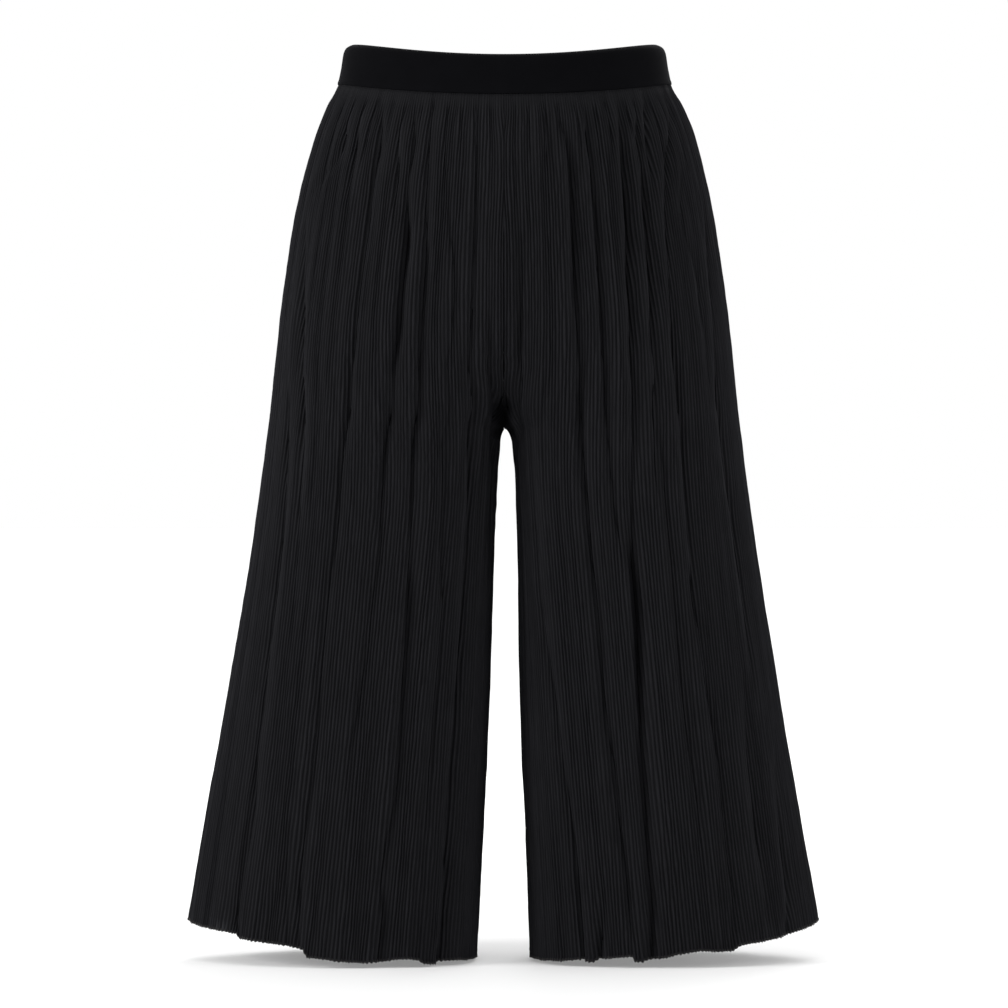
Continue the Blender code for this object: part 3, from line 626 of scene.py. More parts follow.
class Form:
    """The plain form of one panel on the left half, as tables over level and share of the way across."""

    ACROSS = 161

    def __init__(self, panel):
        self.face, side = panel.split("_")[:2]
        self.hem = columns(HEM_COLUMNS, HEM_ROWS[panel])
        self.stand, self.trim = columns(STAND_COLUMNS, STAND_ROWS[side]), TRIM[side]
        over = CROTCH + (RISE_TOP - CROTCH) * np.linspace(1.0, 0.0, 110) ** 2
        under = CROTCH - TURN_UNDER * np.linspace(0.0, 1.0, 60) ** 2
        upper = np.linspace(PANEL_TOP, RISE_TOP, 130)[:-1]
        lower = np.linspace(CROTCH - TURN_UNDER, HEM, 160)[1:]
        self.levels = np.concatenate([upper, over, under[1:], lower])
        self.shares = np.linspace(0.0, 1.0, self.ACROSS)
        self.xs, self.ys, widths = [], [], []
        for level in self.levels:
            across, out, along = self.outline(level)
            widths.append(along[-1])
            self.xs.append(np.interp(self.shares * along[-1], along, across))
            self.ys.append(np.interp(self.shares * along[-1], along, out))
        self.xs, self.ys = np.array(self.xs), np.array(self.ys)
        self.edges = self.inner_edges(np.array(widths))
        self.pleat_s = np.linspace(-CROTCH_SHARE, 1.0, 241)
        self.straight = self.straightened()

    def outline(self, level, points=181):
        """x, distance from the middle and length so far, from the inner edge to the side seam."""
        wide = float(through(LEVELS["level"], LEVELS["half_width"], level)) - SOURCE_RIDGE
        deep = float(through(LEVELS["level"], LEVELS[self.face], level)) - SOURCE_RIDGE
        roundness = float(through(LEVELS["level"], LEVELS["roundness"], level))
        down = max(CROTCH - level, 0.0)
        arch = ARCH_WIDTH * math.sqrt(1.0 - (1.0 - min(down / ARCH_HEIGHT, 1.0)) ** 2)
        together = min(max((level - CROTCH) / (SPLIT_TOP - CROTCH), 0.0), 1.0)
        split = (1.0 - together) ** SPLIT_POWER
        half = (wide - GAP_SLOPE * down) / (1.0 + split)
        angle = np.linspace(math.acos(split ** (INNER_ROUNDNESS / 2.0)), math.pi, points)
        cosine, sine = np.cos(angle), np.sin(angle).clip(0.0)
        inner = cosine > 0.0
        reach = np.abs(cosine) ** np.where(inner, 2.0 / INNER_ROUNDNESS, 1.0)
        across = wide - half + half * np.where(inner, -reach, reach)
        out = deep * sine ** np.where(inner, 1.0, 2.0 / roundness)
        along = np.concatenate([[0.0], np.cumsum(np.hypot(np.diff(across), np.diff(out)))])
        share = along / along[-1]
        out = out * (1.0 - GROOVE * within(level, GROOVE_LEVELS) * np.exp(-((across / GROOVE_WIDTH) ** 2)))
        give = arch + np.interp(-level, -self.stand["level"], self.stand["inseam"])
        across = across + give * np.exp(-((share / INSEAM_SPREAD) ** 2))
        across = across + np.interp(-level, -self.stand["level"], self.stand["side"]) * share**SIDE_POWER
        across = across * (1.0 - self.trim * (1.0 - below_band(level, TRIM_FADE)))
        return across, out, along

    def inner_edges(self, widths):
        """s of the inner edge at each level of the tables."""
        at_rise = np.interp(-RISE_TOP, -self.levels, widths)
        at_crotch = np.interp(-CROTCH, -self.levels, widths) / (1.0 + CROTCH_SHARE)
        share = ease((RISE_TOP - self.levels) / (RISE_TOP - CROTCH))
        edges = np.minimum(1.0 - widths / (at_rise * (1.0 - share) + at_crotch * share), 0.0)
        edges[self.levels >= RISE_TOP] = 0.0
        edges[self.levels <= CROTCH] = -CROTCH_SHARE
        return edges

    def straightened(self):
        """At each level of the tables, the s on the form that each pleat has once it is drawn straight."""

        def across(level):
            row = self.row(level)
            i = int(min(row, len(self.levels) - 2))
            t = row - i
            xs, edge = self.xs[i] * (1 - t) + self.xs[i + 1] * t, self.edge(level)
            share = (np.maximum(self.pleat_s, edge) - edge) / (1.0 - edge)
            return xs, edge, np.interp(share, self.shares, xs)

        top, foot = across(STRAIGHT_TOP)[2], across(STRAIGHT_FOOT)[2]
        top_slope = (across(STRAIGHT_TOP + STRAIGHT_STEP)[2] - top) / STRAIGHT_STEP
        foot_slope = (foot - across(STRAIGHT_FOOT - STRAIGHT_STEP)[2]) / STRAIGHT_STEP
        held = ease(self.pleat_s / STRAIGHT_FADE[0]) * ease((1.0 - self.pleat_s) / STRAIGHT_FADE[1])
        result, run = [], STRAIGHT_FOOT - STRAIGHT_TOP
        for level in self.levels:
            xs, edge, _ = across(level)
            t = (level - STRAIGHT_TOP) / run
            if 0.0 < t < 1.0:
                wanted = curve(t, run, top, foot, top_slope, foot_slope)
                found = edge + (1.0 - edge) * np.interp(wanted, xs, self.shares)
                result.append(self.pleat_s * (1.0 - held) + found * held)
            else:
                result.append(self.pleat_s)
        return np.array(result)

    def row(self, level):
        """The row of the tables that a level falls on, with its fraction."""
        return np.interp(-level, -self.levels, np.arange(len(self.levels)))

    def cell(self, level, column, count):
        """The row and column before a place in a table of count columns, and how far past them it is."""
        row = self.row(level)
        i, j = np.minimum(row.astype(int), len(self.levels) - 2), np.minimum(column.astype(int), count - 2)
        return i, j, row - i, column - j

    def drawn(self, base, level):
        """The s on the form of the pleats at base."""
        count = len(self.pleat_s)
        pleat = np.interp(base, self.pleat_s, np.arange(count))
        return between(self.straight, *self.cell(level, pleat, count))

    def edge(self, level):
        """s of the inner edge."""
        return np.interp(-level, -self.levels, self.edges)

    def clear_of_seams(self, s, level, width):
        """0 at the inner edge and the side seam, and 1 from that much of s away."""
        return ease((s - self.edge(level)) / width) * ease((1.0 - s) / width)

    def crotch_seam(self, s):
        """The level at which the pleats at s, under 0, start."""
        rising = (self.levels <= RISE_TOP) & (self.levels >= CROTCH)
        return np.interp(-s, -self.edges[rising], self.levels[rising])

    def place(self, s, level):
        """Places of the plain form: x, distance from the middle, z."""
        edge = self.edge(level)
        share = np.clip((s - edge) / (1.0 - edge), 0.0, 1.0) * (self.ACROSS - 1)
        i, j, t, u = self.cell(level, share, self.ACROSS)
        x, off = between(self.xs, i, j, t, u), between(self.ys, i, j, t, u)
        side = self.xs[i, -1] * (1 - t) + self.xs[i + 1, -1] * t
        cosine = np.sqrt(np.maximum(1.0 - (x / side) ** 2, 0.0))
        drop = np.interp(s, self.hem["s"], self.hem["drop"])
        dip = 0.0
        if self.face == "front":
            dip = BAND_DIP * cosine**BAND_DIP_POWER * (1.0 - below_band(level, DIP_FADE))
        else:
            drop = drop - BACK_HEM_RISE * ease((1.0 - s) / BACK_RISE_SPAN)
        drop = drop * ease((DROP_START - level) / (DROP_START - HEM))
        return np.stack([x, off, level - dip - drop], axis=-1)

    def facing(self, s, level):
        """The way the cloth faces, kept in the seams' planes so that the panels meet."""
        edge = self.edge(level)
        s = np.maximum(s, edge)
        left, right = np.maximum(s - FACING_STEP_S, edge), np.minimum(s + FACING_STEP_S, 1.0)
        low = np.maximum(level - FACING_STEP_LEVEL, HEM)
        high = np.minimum(level + FACING_STEP_LEVEL, PANEL_TOP)
        across = self.place(right, level) - self.place(left, level)
        down = self.place(s, low) - self.place(s, high)
        facing = -np.cross(down, across)
        facing[..., 2] *= below_band(level, LEVEL_FACING)
        facing[..., 1][(right == 1.0) | ((level <= CROTCH) & (left == edge))] = 0.0
        facing[..., 0][(level >= RISE_TOP) & (left == edge)] = 0.0
        return facing / np.linalg.norm(facing, axis=-1, keepdims=True)


def ripple(random, s, level, cycles, drift, terms=5):
    """Smooth unevenness of about 1, in waves across the panel that wander as they go down."""
    total = np.zeros(np.broadcast(s, level).shape)
    for _ in range(terms):
        count = cycles * random.uniform(0.6, 1.6)
        lean, turn = random.uniform(-drift, drift), random.uniform(0.0, 2 * math.pi)
        swell, beat = random.uniform(3.0, 9.0), random.uniform(0.0, 2 * math.pi)
        strength = 0.65 + 0.35 * np.sin(swell * 2.2 * level + beat)
        total += strength * np.sin(2 * math.pi * (count * s + lean * level) + turn)
    return total / math.sqrt(terms)


def ripples(random, s, level, rows, weights):
    """Several ripples together, each by its own row and weight."""
    parts = []
    for row, weight in zip(rows, weights):
        wave = dict(zip(WAVE_COLUMNS, row))
        parts.append(wave["size"] * weight * ripple(random, s, level, wave["cycles"], wave["drift"]))
    return sum(parts)


def folds(panel, form, s, level):
    """How far the main folds move the cloth out, and how tightly the gathers below the band grip it."""
    total, grip = np.zeros_like(s), np.zeros_like(s)
    for inward, outward, rows in FOLD_ROWS[panel]:
        knots = columns(FOLD_COLUMNS, rows)
        top, bottom = knots["level"][0], knots["level"][-1]
        depth = np.minimum(through(knots["level"], knots["depth"], level), 0.0)
        depth = depth * ease((top + FOLD_START - level) / FOLD_START)
        if bottom > HEM + FOLD_START:
            depth = depth * ease((level - bottom + FOLD_END) / FOLD_END)
        away = (s - through(knots["level"], knots["s"], level)) * PANEL_SPAN
        total += depth * np.exp(-(np.abs(away / np.where(away < 0.0, inward, outward)) ** FOLD_SHARPNESS))
    for row in GATHER_ROWS[panel]:
        gather = dict(zip(GATHER_COLUMNS, row))
        down = (PANEL_TOP - GATHER_START - level) / gather["length"]
        away = (s - gather["s"] + gather["lean"] * down) * PANEL_SPAN / gather["half_width"]
        hold = gather["strength"] * ease(down / 0.25) * ease(1.5 - down)
        grip = np.maximum(grip, hold * np.exp(-(away**2)))
    fade = form.clear_of_seams(s, level, EDGE_FADE)
    return total * fade, grip * fade


def object_of(name, points, faces, material):
    """A smooth mesh object at the origin."""
    mesh = bpy.data.meshes.new(name)
    mesh.from_pydata(points.tolist(), [], faces)
    mesh.validate()
    mesh.shade_smooth()
    mesh.materials.append(material)
    return shown(name, mesh)


def shown(name, data):
    """An object of its own for a mesh, a light or a camera."""
    thing = bpy.data.objects.new(name, data)
    bpy.context.scene.collection.objects.link(thing)
    return thing


class Wire:
    """An output of a node tree, on which sums are written as plain expressions."""

    def __init__(self, tree, socket):
        self.tree, self.socket = tree, socket

    def sum(self, operation, other, swapped=False):
        values = (other, self) if swapped else (self, other)
        return self.tree.node("ShaderNodeMath", {"operation": operation}, {0: values[0], 1: values[1]})

    def __add__(self, other):
        return self.sum("ADD", other)

    def __mul__(self, other):
        return self.sum("MULTIPLY", other)

    def __sub__(self, other):
        return self.sum("SUBTRACT", other)

    def __rsub__(self, other):
        return self.sum("SUBTRACT", other, True)

    __radd__, __rmul__ = __add__, __mul__

    def clamp(self):
        return self.tree.node("ShaderNodeClamp", {}, {"Value": self})


class Tree:
    """A tree of shader or geometry nodes."""

    def __init__(self, tree):
        self.tree = tree

    def node(self, kind, settings, sockets, output=0):
        """A node with its settings set first and then its sockets, from values, a wire or a list of wires."""
        node = self.tree.nodes.new(kind)
        for key, value in settings.items():
            setattr(node, key, value)
        for key, value in sockets.items():
            for end in value if isinstance(value, list) else [value]:
                if isinstance(end, Wire):
                    self.tree.links.new(end.socket, node.inputs[key])
                else:
                    node.inputs[key].default_value = end
        return Wire(self, node.outputs[output]) if node.outputs else None


class Shades(Tree):
    """A material's shader tree."""

    def __init__(self, name):
        self.material = bpy.data.materials.new(name)
        self.material.use_nodes = True
        super().__init__(self.material.node_tree)
        self.tree.nodes.clear()
        self.place = self.node("ShaderNodeTexCoord", {}, {}, "Object")

    def noise(self, scale, detail, place=None):
        return self.node(
            "ShaderNodeTexNoise", {}, {"Vector": place or self.place, "Scale": scale, "Detail": detail}
        )

    def attribute(self, name):
        return self.node("ShaderNodeAttribute", {"attribute_name": name}, {}, "Fac")

    def threads(self, place, pitch, direction):
        """Bands at the pitch of the weave, a little uneven."""
        return self.node(
            "ShaderNodeTexWave",
            {"wave_type": "BANDS", "bands_direction": direction},
            {"Vector": place, "Scale": WAVE_SCALE / pitch, "Distortion": 0.6, "Detail": 1.0},
            "Fac",
        )

    def relief(self, height, strength, distance):
        return self.node("ShaderNodeBump", {}, {"Strength": strength, "Distance": distance, "Height": height})

    def blend(self, factor, low, high):
        """A colour between two, by its factor."""
        mix = self.tree.nodes.new("ShaderNodeMix")
        mix.data_type = "RGBA"
        self.tree.links.new(factor.socket, mix.inputs[0])
        mix.inputs[6].default_value, mix.inputs[7].default_value = low, high
        return Wire(self, mix.outputs[2])

    def principled(self, sockets):
        return self.node("ShaderNodeBsdfPrincipled", {}, sockets)

    def surface(self, shader):
        self.node("ShaderNodeOutputMaterial", {}, {"Surface": shader})
        return self.material


def opaque(colour, factor=1.0):
    """A colour with its alpha, made lighter or darker by a factor."""
    return (*(channel * factor for channel in colour[:3]), 1.0)


def pleated_cloth(look):
    """Thin matt cloth with painted light and shade: lighter on the pleats' crests and darker in their valleys
    and folds, with random streaks and mottling, a fine weave and a little light let through.
    """
    shades = Shades("pleated_cloth")
    crest, thin = shades.attribute("crest"), shades.attribute("thin")
    thread = shades.node("ShaderNodeUVMap", {"uv_map": "cloth"}, {})
    patch, slub = shades.noise(30.0, 3.0), shades.noise(900.0, 2.0)
    stretched = shades.node("ShaderNodeMapping", {}, {"Vector": thread, "Scale": (250.0, 60.0, 1.0)})
    streak = shades.noise(1.0, 3.0, stretched)
    # the colour's tone: painted light and shade from the pleats, times random streaks, plus random mottling
    # and slubs
    tone = (crest * (1.5 - crest * 0.5) * (streak * 1.1 + 0.30) + patch * 0.35 + slub * 0.20 - 0.30).clamp()
    warp, weft = (shades.threads(thread, look.weave_pitch, direction) for direction in "XY")
    cloth = shades.principled(
        {
            "Base Color": shades.blend(tone, opaque(look.shaded_valley_colour), opaque(look.lit_crest_colour)),
            "Roughness": (slub * 0.16 + (look.roughness - 0.08)).clamp(),
            "Specular IOR Level": look.shine,
            "Sheen Weight": look.sheen,
            "Sheen Roughness": 0.45,
            "Sheen Tint": opaque((0.86, 0.88, 1.0)),
            "Normal": shades.relief(warp * weft + slub * 0.5, 0.35, 0.00012),
        }
    )
    passing = (thin * crest * 0.45 + look.see_through).clamp()
    through_cloth = shades.node("ShaderNodeBsdfTranslucent", {}, {"Color": opaque((0.9, 0.92, 1.0))})
    return shades.surface(shades.node("ShaderNodeMixShader", {}, {0: passing, 1: cloth, 2: through_cloth}))


def velvet_pile(look):
    """Short dense pile: almost black face on, paler where it is seen along the pile."""
    shades = Shades("band_pile")
    tuft, brushed = shades.noise(2600.0, 2.0), shades.noise(55.0, 3.0)
    tone = (tuft * 0.5 + brushed * 0.7 - 0.1).clamp()
    pile = shades.principled(
        {
            "Base Color": shades.blend(tone, opaque(look.colour, 0.75), opaque(look.colour, 1.3)),
            "Roughness": (tuft * 0.1 + 0.88).clamp(),
            "Specular IOR Level": 0.02,
            "Sheen Weight": look.sheen,
            "Sheen Roughness": look.sheen_roughness,
            "Sheen Tint": opaque((0.9, 0.92, 1.0)),
            "Normal": shades.relief(tuft + brushed * 0.6, 0.5, 0.0003),
        }
    )
    return shades.surface(pile)


def sewing_thread(look):
    """Spun thread with a soft shine."""
    shades = Shades("sewing_thread")
    ply = shades.noise(3200.0, 1.0)
    thread = shades.principled(
        {
            "Base Color": shades.blend(ply, opaque(look.colour, 0.7), opaque(look.colour, 1.3)),
            "Roughness": (ply * 0.2 + 0.45).clamp(),
            "Specular IOR Level": 0.35,
        }
    )
    return shades.surface(thread)


def studio_paint(floor_glow):
    """Pale floor paint with painted light: it glows a little, more so far from the middle, where the lights
    don't reach.
    """
    shades = Shades("studio_floor")
    away = shades.node("ShaderNodeVectorMath", {"operation": "LENGTH"}, {0: shades.place}, "Value")
    far = shades.node("ShaderNodeMapRange", {}, {"Value": away, "From Min": 0.25, "From Max": 2.2})
    paint = shades.principled(
        {
            "Base Color": opaque((0.62, 0.62, 0.62)),
            "Roughness": 0.9,
            "Emission Color": shades.blend(far, opaque((0.25, 0.25, 0.25)), opaque((1.0, 1.0, 1.0))),
            "Emission Strength": floor_glow,
        }
    )
    return shades.surface(paint)


def whole(name, description, default, least):
    return bpy.props.IntProperty(name=name, description=description, default=default, min=least)


def metres(name, description, default, digits=5):
    return bpy.props.FloatProperty(
        name=name, description=description, default=default, unit="LENGTH", precision=digits
    )


def fraction(name, description, default):
    return bpy.props.FloatProperty(
        name=name, description=description, default=default, subtype="FACTOR", min=0.0, max=1.0
    )


def amount(name, description, default, unit="NONE"):
    return bpy.props.FloatProperty(name=name, description=description, default=default, min=0.0, unit=unit)


def tint(name, description, default):
    return bpy.props.FloatVectorProperty(name=name, description=description, default=default, subtype="COLOR")


class ClothSizes(bpy.types.PropertyGroup):
    waist_pleats: whole("Waist pleats", "Pleats of a panel that start at the waistband", 95, 20)
    crotch_pleats: whole("Crotch pleats", "Pleats of a panel that start at the crotch seam", 18, 4)
    steps: whole("Facets", "Facets across one pleat", 6, 4)
    pleat_height: metres("Pleat height", "Crest above valley", 0.0015)
    fold_strength: amount("Fold strength", "Depth of the folds against their tables", 1.85)
    uneven: metres("Unevenness", "Soft random swells of the cloth", 0.0006)
    allowance: metres("Seam allowance", "Cloth turned in at a seam", 0.005)
    weave_pitch: metres("Weave", "Distance between threads", 0.00032)
    # painted light and shade: the cloth's colour runs from the shaded valleys to the lit crests
    shaded_valley_colour: tint("Valleys", "Colour in the valleys", (0.0042, 0.0042, 0.0049))
    lit_crest_colour: tint("Crests", "Colour on the crests", (0.0109, 0.0109, 0.0126))
    roughness: fraction("Roughness", "How matt the cloth is", 0.66)
    shine: fraction("Shine", "Strength of the cloth's gloss", 0.035)
    sheen: fraction("Sheen", "Fuzz that catches light at the edges", 0.006)
    see_through: fraction("See-through", "Light that one layer lets past", 0.003)


class BandSizes(bpy.types.PropertyGroup):
    steps: whole("Facets", "Facets along half the band", 160, 20)
    colour: tint("Pile", "Colour of the pile", (0.0021, 0.0021, 0.0026))
    sheen: fraction("Sheen", "Paleness of the pile seen from the side", 0.022)
    sheen_roughness: fraction("Sheen spread", "How far the sheen spreads", 0.3)


class HemSizes(bpy.types.PropertyGroup):
    pitch: metres("Stitch pitch", "Distance between stitches", 0.0015)
    thread: metres("Thread", "Radius of the thread", 0.00018)
    reach: metres("Reach", "How far a stitch reaches up the cloth", 0.002)
    colour: tint("Thread", "Colour of the thread", (0.026, 0.024, 0.023))


class StudioSizes(bpy.types.PropertyGroup):
    distance: metres("Camera distance", "From the middle of the legs", 3.5)
    height: metres("Camera height", "Against the waist", -0.3509)
    lens: amount("Lens", "Focal length in mm", 156.25)
    floor: metres("Floor", "Height of the floor", -0.7146)
    sky: amount("Room light", "Light from all round", 1.0)
    # painted light: how strongly the floor glows
    floor_glow: amount("Floor glow", "Keeps the far floor white", 0.52)
    softbox: amount("Softboxes", "Strength of the softboxes", 54.0, "POWER")


def quads(index):
    """Faces between the rows and columns of an index table.

    -1 means no vertex, and doubled corners drop out.
    """
    corners = np.stack([index[:-1, :-1], index[1:, :-1], index[1:, 1:], index[:-1, 1:]], axis=-1)
    corners = corners.reshape(-1, 4)
    corners = corners[(corners >= 0).all(axis=1)]
    ordered = np.sort(corners, axis=1)
    doubled = (ordered[:, 1:] == ordered[:, :-1]).any(axis=1)
    pinched = [list(dict.fromkeys(face)) for face in corners[doubled].tolist()]
    return corners[~doubled].tolist() + [face for face in pinched if len(face) > 2]


class Grid:
    """The rows and columns of one panel's cloth: s and level of each place, and which the panel has."""

    def __init__(self, panel, sizes):
        self.panel, self.sizes, self.form = panel, sizes, Form(panel)
        table = columns(ROW_COLUMNS, ROW_ROWS)
        starts = np.concatenate([[0.0], np.cumsum(table["steps"][:-1])])
        rows = np.arange(int(starts[-1]) + 1)
        centre, inseam, even = (np.interp(rows, starts, table[name]) for name in ROW_COLUMNS[:3])
        self.rise_row = int(starts[RISE_KNOT])
        self.crotch_steps, waist_steps = sizes.crotch_pleats * sizes.steps, sizes.waist_pleats * sizes.steps
        self.column = np.arange(-self.crotch_steps, waist_steps + 1)
        column = self.column
        base = np.where(column < 0, CROTCH_SHARE * column / self.crotch_steps, column / waist_steps)
        share = np.where(base < 0.0, (RISE_TOP - self.form.crotch_seam(base)) / (RISE_TOP - CROTCH), 0.0)
        spread = ease(base / EVEN_FROM)
        level = centre[:, None] * (1.0 - share) + inseam[:, None] * share
        self.level = level * (1.0 - spread) + even[:, None] * spread
        drawn = self.form.drawn(np.broadcast_to(base, self.level.shape), self.level)
        s = np.minimum(drawn + self.lean(base), 1.0)
        self.has = np.ones(s.shape, bool)
        self.has[: self.rise_row, : self.crotch_steps] = False
        above = np.where(base < 0.0, -1.0, 0.0)
        edge = np.where(rows[:, None] <= self.rise_row, above, self.form.edge(self.level))
        self.outside = self.has & (s < edge)
        self.s = np.maximum(s, edge)
        self.shape = s.shape

    def lean(self, base):
        """How far each pleat wanders aside."""
        near_waist = 1.0 - below_band(self.level, LEAN_ZONE)
        weights = (near_waist, 1.0 - near_waist, 1.0, 1.0)
        lean = ripples(draws(self.panel), base, self.level, LEAN_ROWS, weights)
        lean = lean * self.form.clear_of_seams(base, self.level, LEAN_FADE)
        if self.form.face == "front":
            near_centre = np.exp(-np.maximum(base, 0.0) / DRAWN_IN_WIDTH) * (base >= 0.0)
            lean = lean - DRAWN_IN * near_centre * within(self.level, DRAWN_IN_LEVELS)
        return lean

    def pleats(self, grip):
        """Height of the fine pleats above their valleys, 0 to about 1, and the painted light and shade of
        their colour.
        """
        random = draws(self.panel, 7)
        phase = (self.column % self.sizes.steps) / self.sizes.steps
        zigzag = 1.0 - np.abs(2.0 * phase - 1.0)
        rounded = 0.5 - 0.5 * np.cos(2.0 * math.pi * phase)
        profile = zigzag * (1.0 - PLEAT_ROUND) + rounded * PLEAT_ROUND
        number = self.column // self.sizes.steps
        each = random.uniform(*PLEAT_HEIGHTS, number.max() - number.min() + 1)[number - number.min()]
        wander = 1.0 + ripples(random, self.s, self.level, PLEAT_WAVES, (1.0, 1.0))
        free = PLEAT_HELD + (1.0 - PLEAT_HELD) * below_band(self.level + PLEAT_START, PLEAT_RISE)
        near = 1.0 - below_band(self.level, GATHER_ZONE)
        height = profile * each * np.clip(wander, 0.45, 1.5) * free * (1.0 + near * (0.9 * grip - 0.20))
        # painted shade: darker below the band and near the hem, where the crests stay lighter than the
        # valleys
        painted_dimming = DIM_TOP * (1.0 - below_band(self.level, DIM_TOP_ZONE))
        painted_dimming += DIM_FOOT * ease((DIM_FOOT_START - self.level) / DIM_FOOT_ZONE)
        sharp = 1.0 - painted_dimming + 1.2 * painted_dimming * (profile - 0.5)
        # painted light and shade: lighter with pleat height, a little lighter just under the band, darker in
        # the gathers' valleys
        return height, ((height + near * (0.10 - 0.6 * grip * (1.0 - profile))) * sharp).clip(0.0)

    def glow(self, random):
        """How much light the single layer at the hem lets through."""
        thin = np.zeros(self.shape)
        for row in GLOW_ROWS.get(self.panel, ()):
            glow = dict(zip(GLOW_COLUMNS, row))
            up_hem = ease(1.0 - (self.level - HEM) / glow["height"])
            uneven = np.clip(0.55 + 0.75 * ripple(random, self.s, 0.0 * self.level, 26.0, 0.0), 0.0, 1.6)
            across = np.exp(-(((self.s - glow["s"]) / glow["half_width"]) ** 4))
            thin += glow["strength"] * uneven * up_hem * across
        return thin

    def index(self):
        """The number of the vertex at each place, or -1. Places past the edge share the last one's."""
        index = np.full(self.shape, -1)
        index[self.has] = np.arange(self.has.sum())
        for row, outside in zip(index, self.outside):
            past = np.flatnonzero(outside)
            if len(past):
                row[past] = row[past[-1]]
        return index

    def inner_places(self):
        """Rows and columns of the inner edge: down the centre seam, along the crotch, down the inseam."""
        for row in range(self.rise_row):
            past = np.flatnonzero(self.outside[row, self.crotch_steps :])
            yield row, self.crotch_steps + (past[-1] if len(past) else 0)
        for column in range(self.crotch_steps, -1, -1):
            yield self.rise_row, column
        for row in range(self.rise_row + 1, self.shape[0]):
            yield row, 0


def unit(ways, otherwise):
    """Ways made 1 long, or another way where one has no length."""
    size = np.linalg.norm(ways, axis=-1, keepdims=True)
    return np.where(size > SHORTEST, ways / np.maximum(size, SHORTEST), otherwise)


class Shell:
    """The cloth as it grows: points, painted light and shade, places in the weave and faces."""

    def __init__(self, points, crest, weave, index):
        self.points, self.crest, self.weave, self.faces = points, crest, weave, quads(index)

    def turn_in(self, line, inward, width):
        """A strip of cloth turned in from a line of points. The result is its far edge."""
        far = np.arange(len(self.points), len(self.points) + len(line))
        self.points = np.concatenate([self.points, self.points[line] + inward])
        self.crest = np.concatenate([self.crest, np.full(len(line), TURNED_SHADE)])
        self.weave = np.concatenate([self.weave, self.weave[line] + (width, 0.0)])
        self.faces += quads(np.stack([line, far]))
        return far


def leg_surface(grid, sizes):
    """Points of a panel: the plain form, moved out by its folds, then by its pleats square to the folds."""
    form, shape = grid.form, grid.shape
    s, level = grid.s.ravel(), grid.level.ravel()
    random = draws(grid.panel, 3)
    facing = form.facing(s, level)
    fade = form.clear_of_seams(s, level, EDGE_FADE)
    main, grip = folds(grid.panel, form, s, level)
    out = main * sizes.fold_strength - GATHER_DEPTH * grip
    swell = ripples(random, s, level, SWELL_WAVES, (1.0, 1.0))
    out += sizes.uneven * swell * fade * (0.35 + 0.65 * below_band(level, SWELL_START))
    out += BAND_FLUSH * (1.0 - below_band(level, FLUSH_ZONE))
    folded = (form.place(s, level) + facing * out[:, None]).reshape(*shape, 3)
    facing = facing.reshape(*shape, 3)
    height, crest = grid.pleats(grip.reshape(shape))
    # painted shade in the folds' troughs, darker the deeper the trough
    trough_shade = FOLD_SHADE * np.clip(-main / FOLD_SHADE_DEPTH, 0.0, 1.0) ** 1.5
    crest = crest * np.clip(1.0 - trough_shade, 0.1, 1.0).reshape(shape)

    # the folded cloth's own facing, given up beside the seams and the band so that the panels meet there
    square = unit(-np.cross(np.gradient(folded, axis=0), np.gradient(folded, axis=1)), facing)
    flipped = (square * facing).sum(axis=-1) < 0.2
    square[flipped] = facing[flipped]
    blend = (fade * below_band(level, SQUARE_ZONE)).reshape(shape)
    crotch = (slice(None), slice(grid.crotch_steps))
    blend[crotch] *= ease((form.crotch_seam(grid.s[crotch]) - grid.level[crotch]) / SQUARE_ZONE)
    square = facing * (1.0 - blend[..., None]) + square * blend[..., None]
    square /= np.linalg.norm(square, axis=-1, keepdims=True)
    points = folded + square * (height * sizes.pleat_height)[..., None]
    points[..., 2] -= SCALLOP * height * ease((HEM + SCALLOP_HEIGHT - grid.level) / SCALLOP_HEIGHT)
    points[..., :2] = np.maximum(points[..., :2], 0.0)
    return points, facing, crest, grid.glow(random)


def leg_panel(panel, sizes, material):
    """One panel's cloth, with its allowances turned in at the seams and up behind the band."""
    face, side = panel.split("_")[:2]
    grid = Grid(panel, sizes)
    points, facing, crest, thin = leg_surface(grid, sizes)
    across = (grid.s + CROTCH_SHARE) / (1.0 + CROTCH_SHARE) * CUT_ROWS[face][1]
    weave = np.stack([across, -grid.level], axis=-1)
    index = grid.index()
    shell = Shell(points[grid.has], crest[grid.has], weave[grid.has], index)
    inner = tuple(np.array(list(grid.inner_places())).T)
    width = sizes.allowance
    shell.turn_in(index[inner], -facing[inner] * width + (TURN_GAP, TURN_GAP, 0.0), width)
    shell.turn_in(index[:, -1], -facing[:, -1] * width + (0.0, TURN_GAP, 0.0), width)
    ways = facing[0, grid.crotch_steps :]
    tuck = shell.turn_in(index[0, grid.crotch_steps :], -ways * TUCK_BACK + (0.0, 0.0, TUCK_LIFT), width)
    shell.turn_in(tuck, -ways * TUCK_LEAN + (0.0, 0.0, TUCK_HEIGHT), width)

    points, faces = shell.points * (SIDEWAYS[side], FORWARD[face], 1.0), shell.faces
    if SIDEWAYS[side] * FORWARD[face] > 0.0:
        faces = [corners[::-1] for corners in faces]
    piece = object_of(panel + "_cloth", points, faces, material)
    mesh = piece.data
    thin = np.concatenate([thin[grid.has], np.zeros(len(points) - grid.has.sum())])
    for name, values in (("crest", shell.crest), ("thin", thin)):
        mesh.attributes.new(name, "FLOAT", "POINT").data.foreach_set("value", values.astype(np.float32))
    corner = np.empty(len(mesh.loops), np.int32)
    mesh.loops.foreach_get("vertex_index", corner)
    mesh.uv_layers.new(name="cloth").data.foreach_set("uv", shell.weave[corner].astype(np.float32).ravel())
    return piece, points[index[-1]]


def keep_line(name, points):
    """A bare line of points that a later step follows. It is taken away when that step has used it."""
    mesh = bpy.data.meshes.new(name)
    mesh.from_pydata(points.tolist(), [(i, i + 1) for i in range(len(points) - 1)], [])
    return shown(name, mesh)


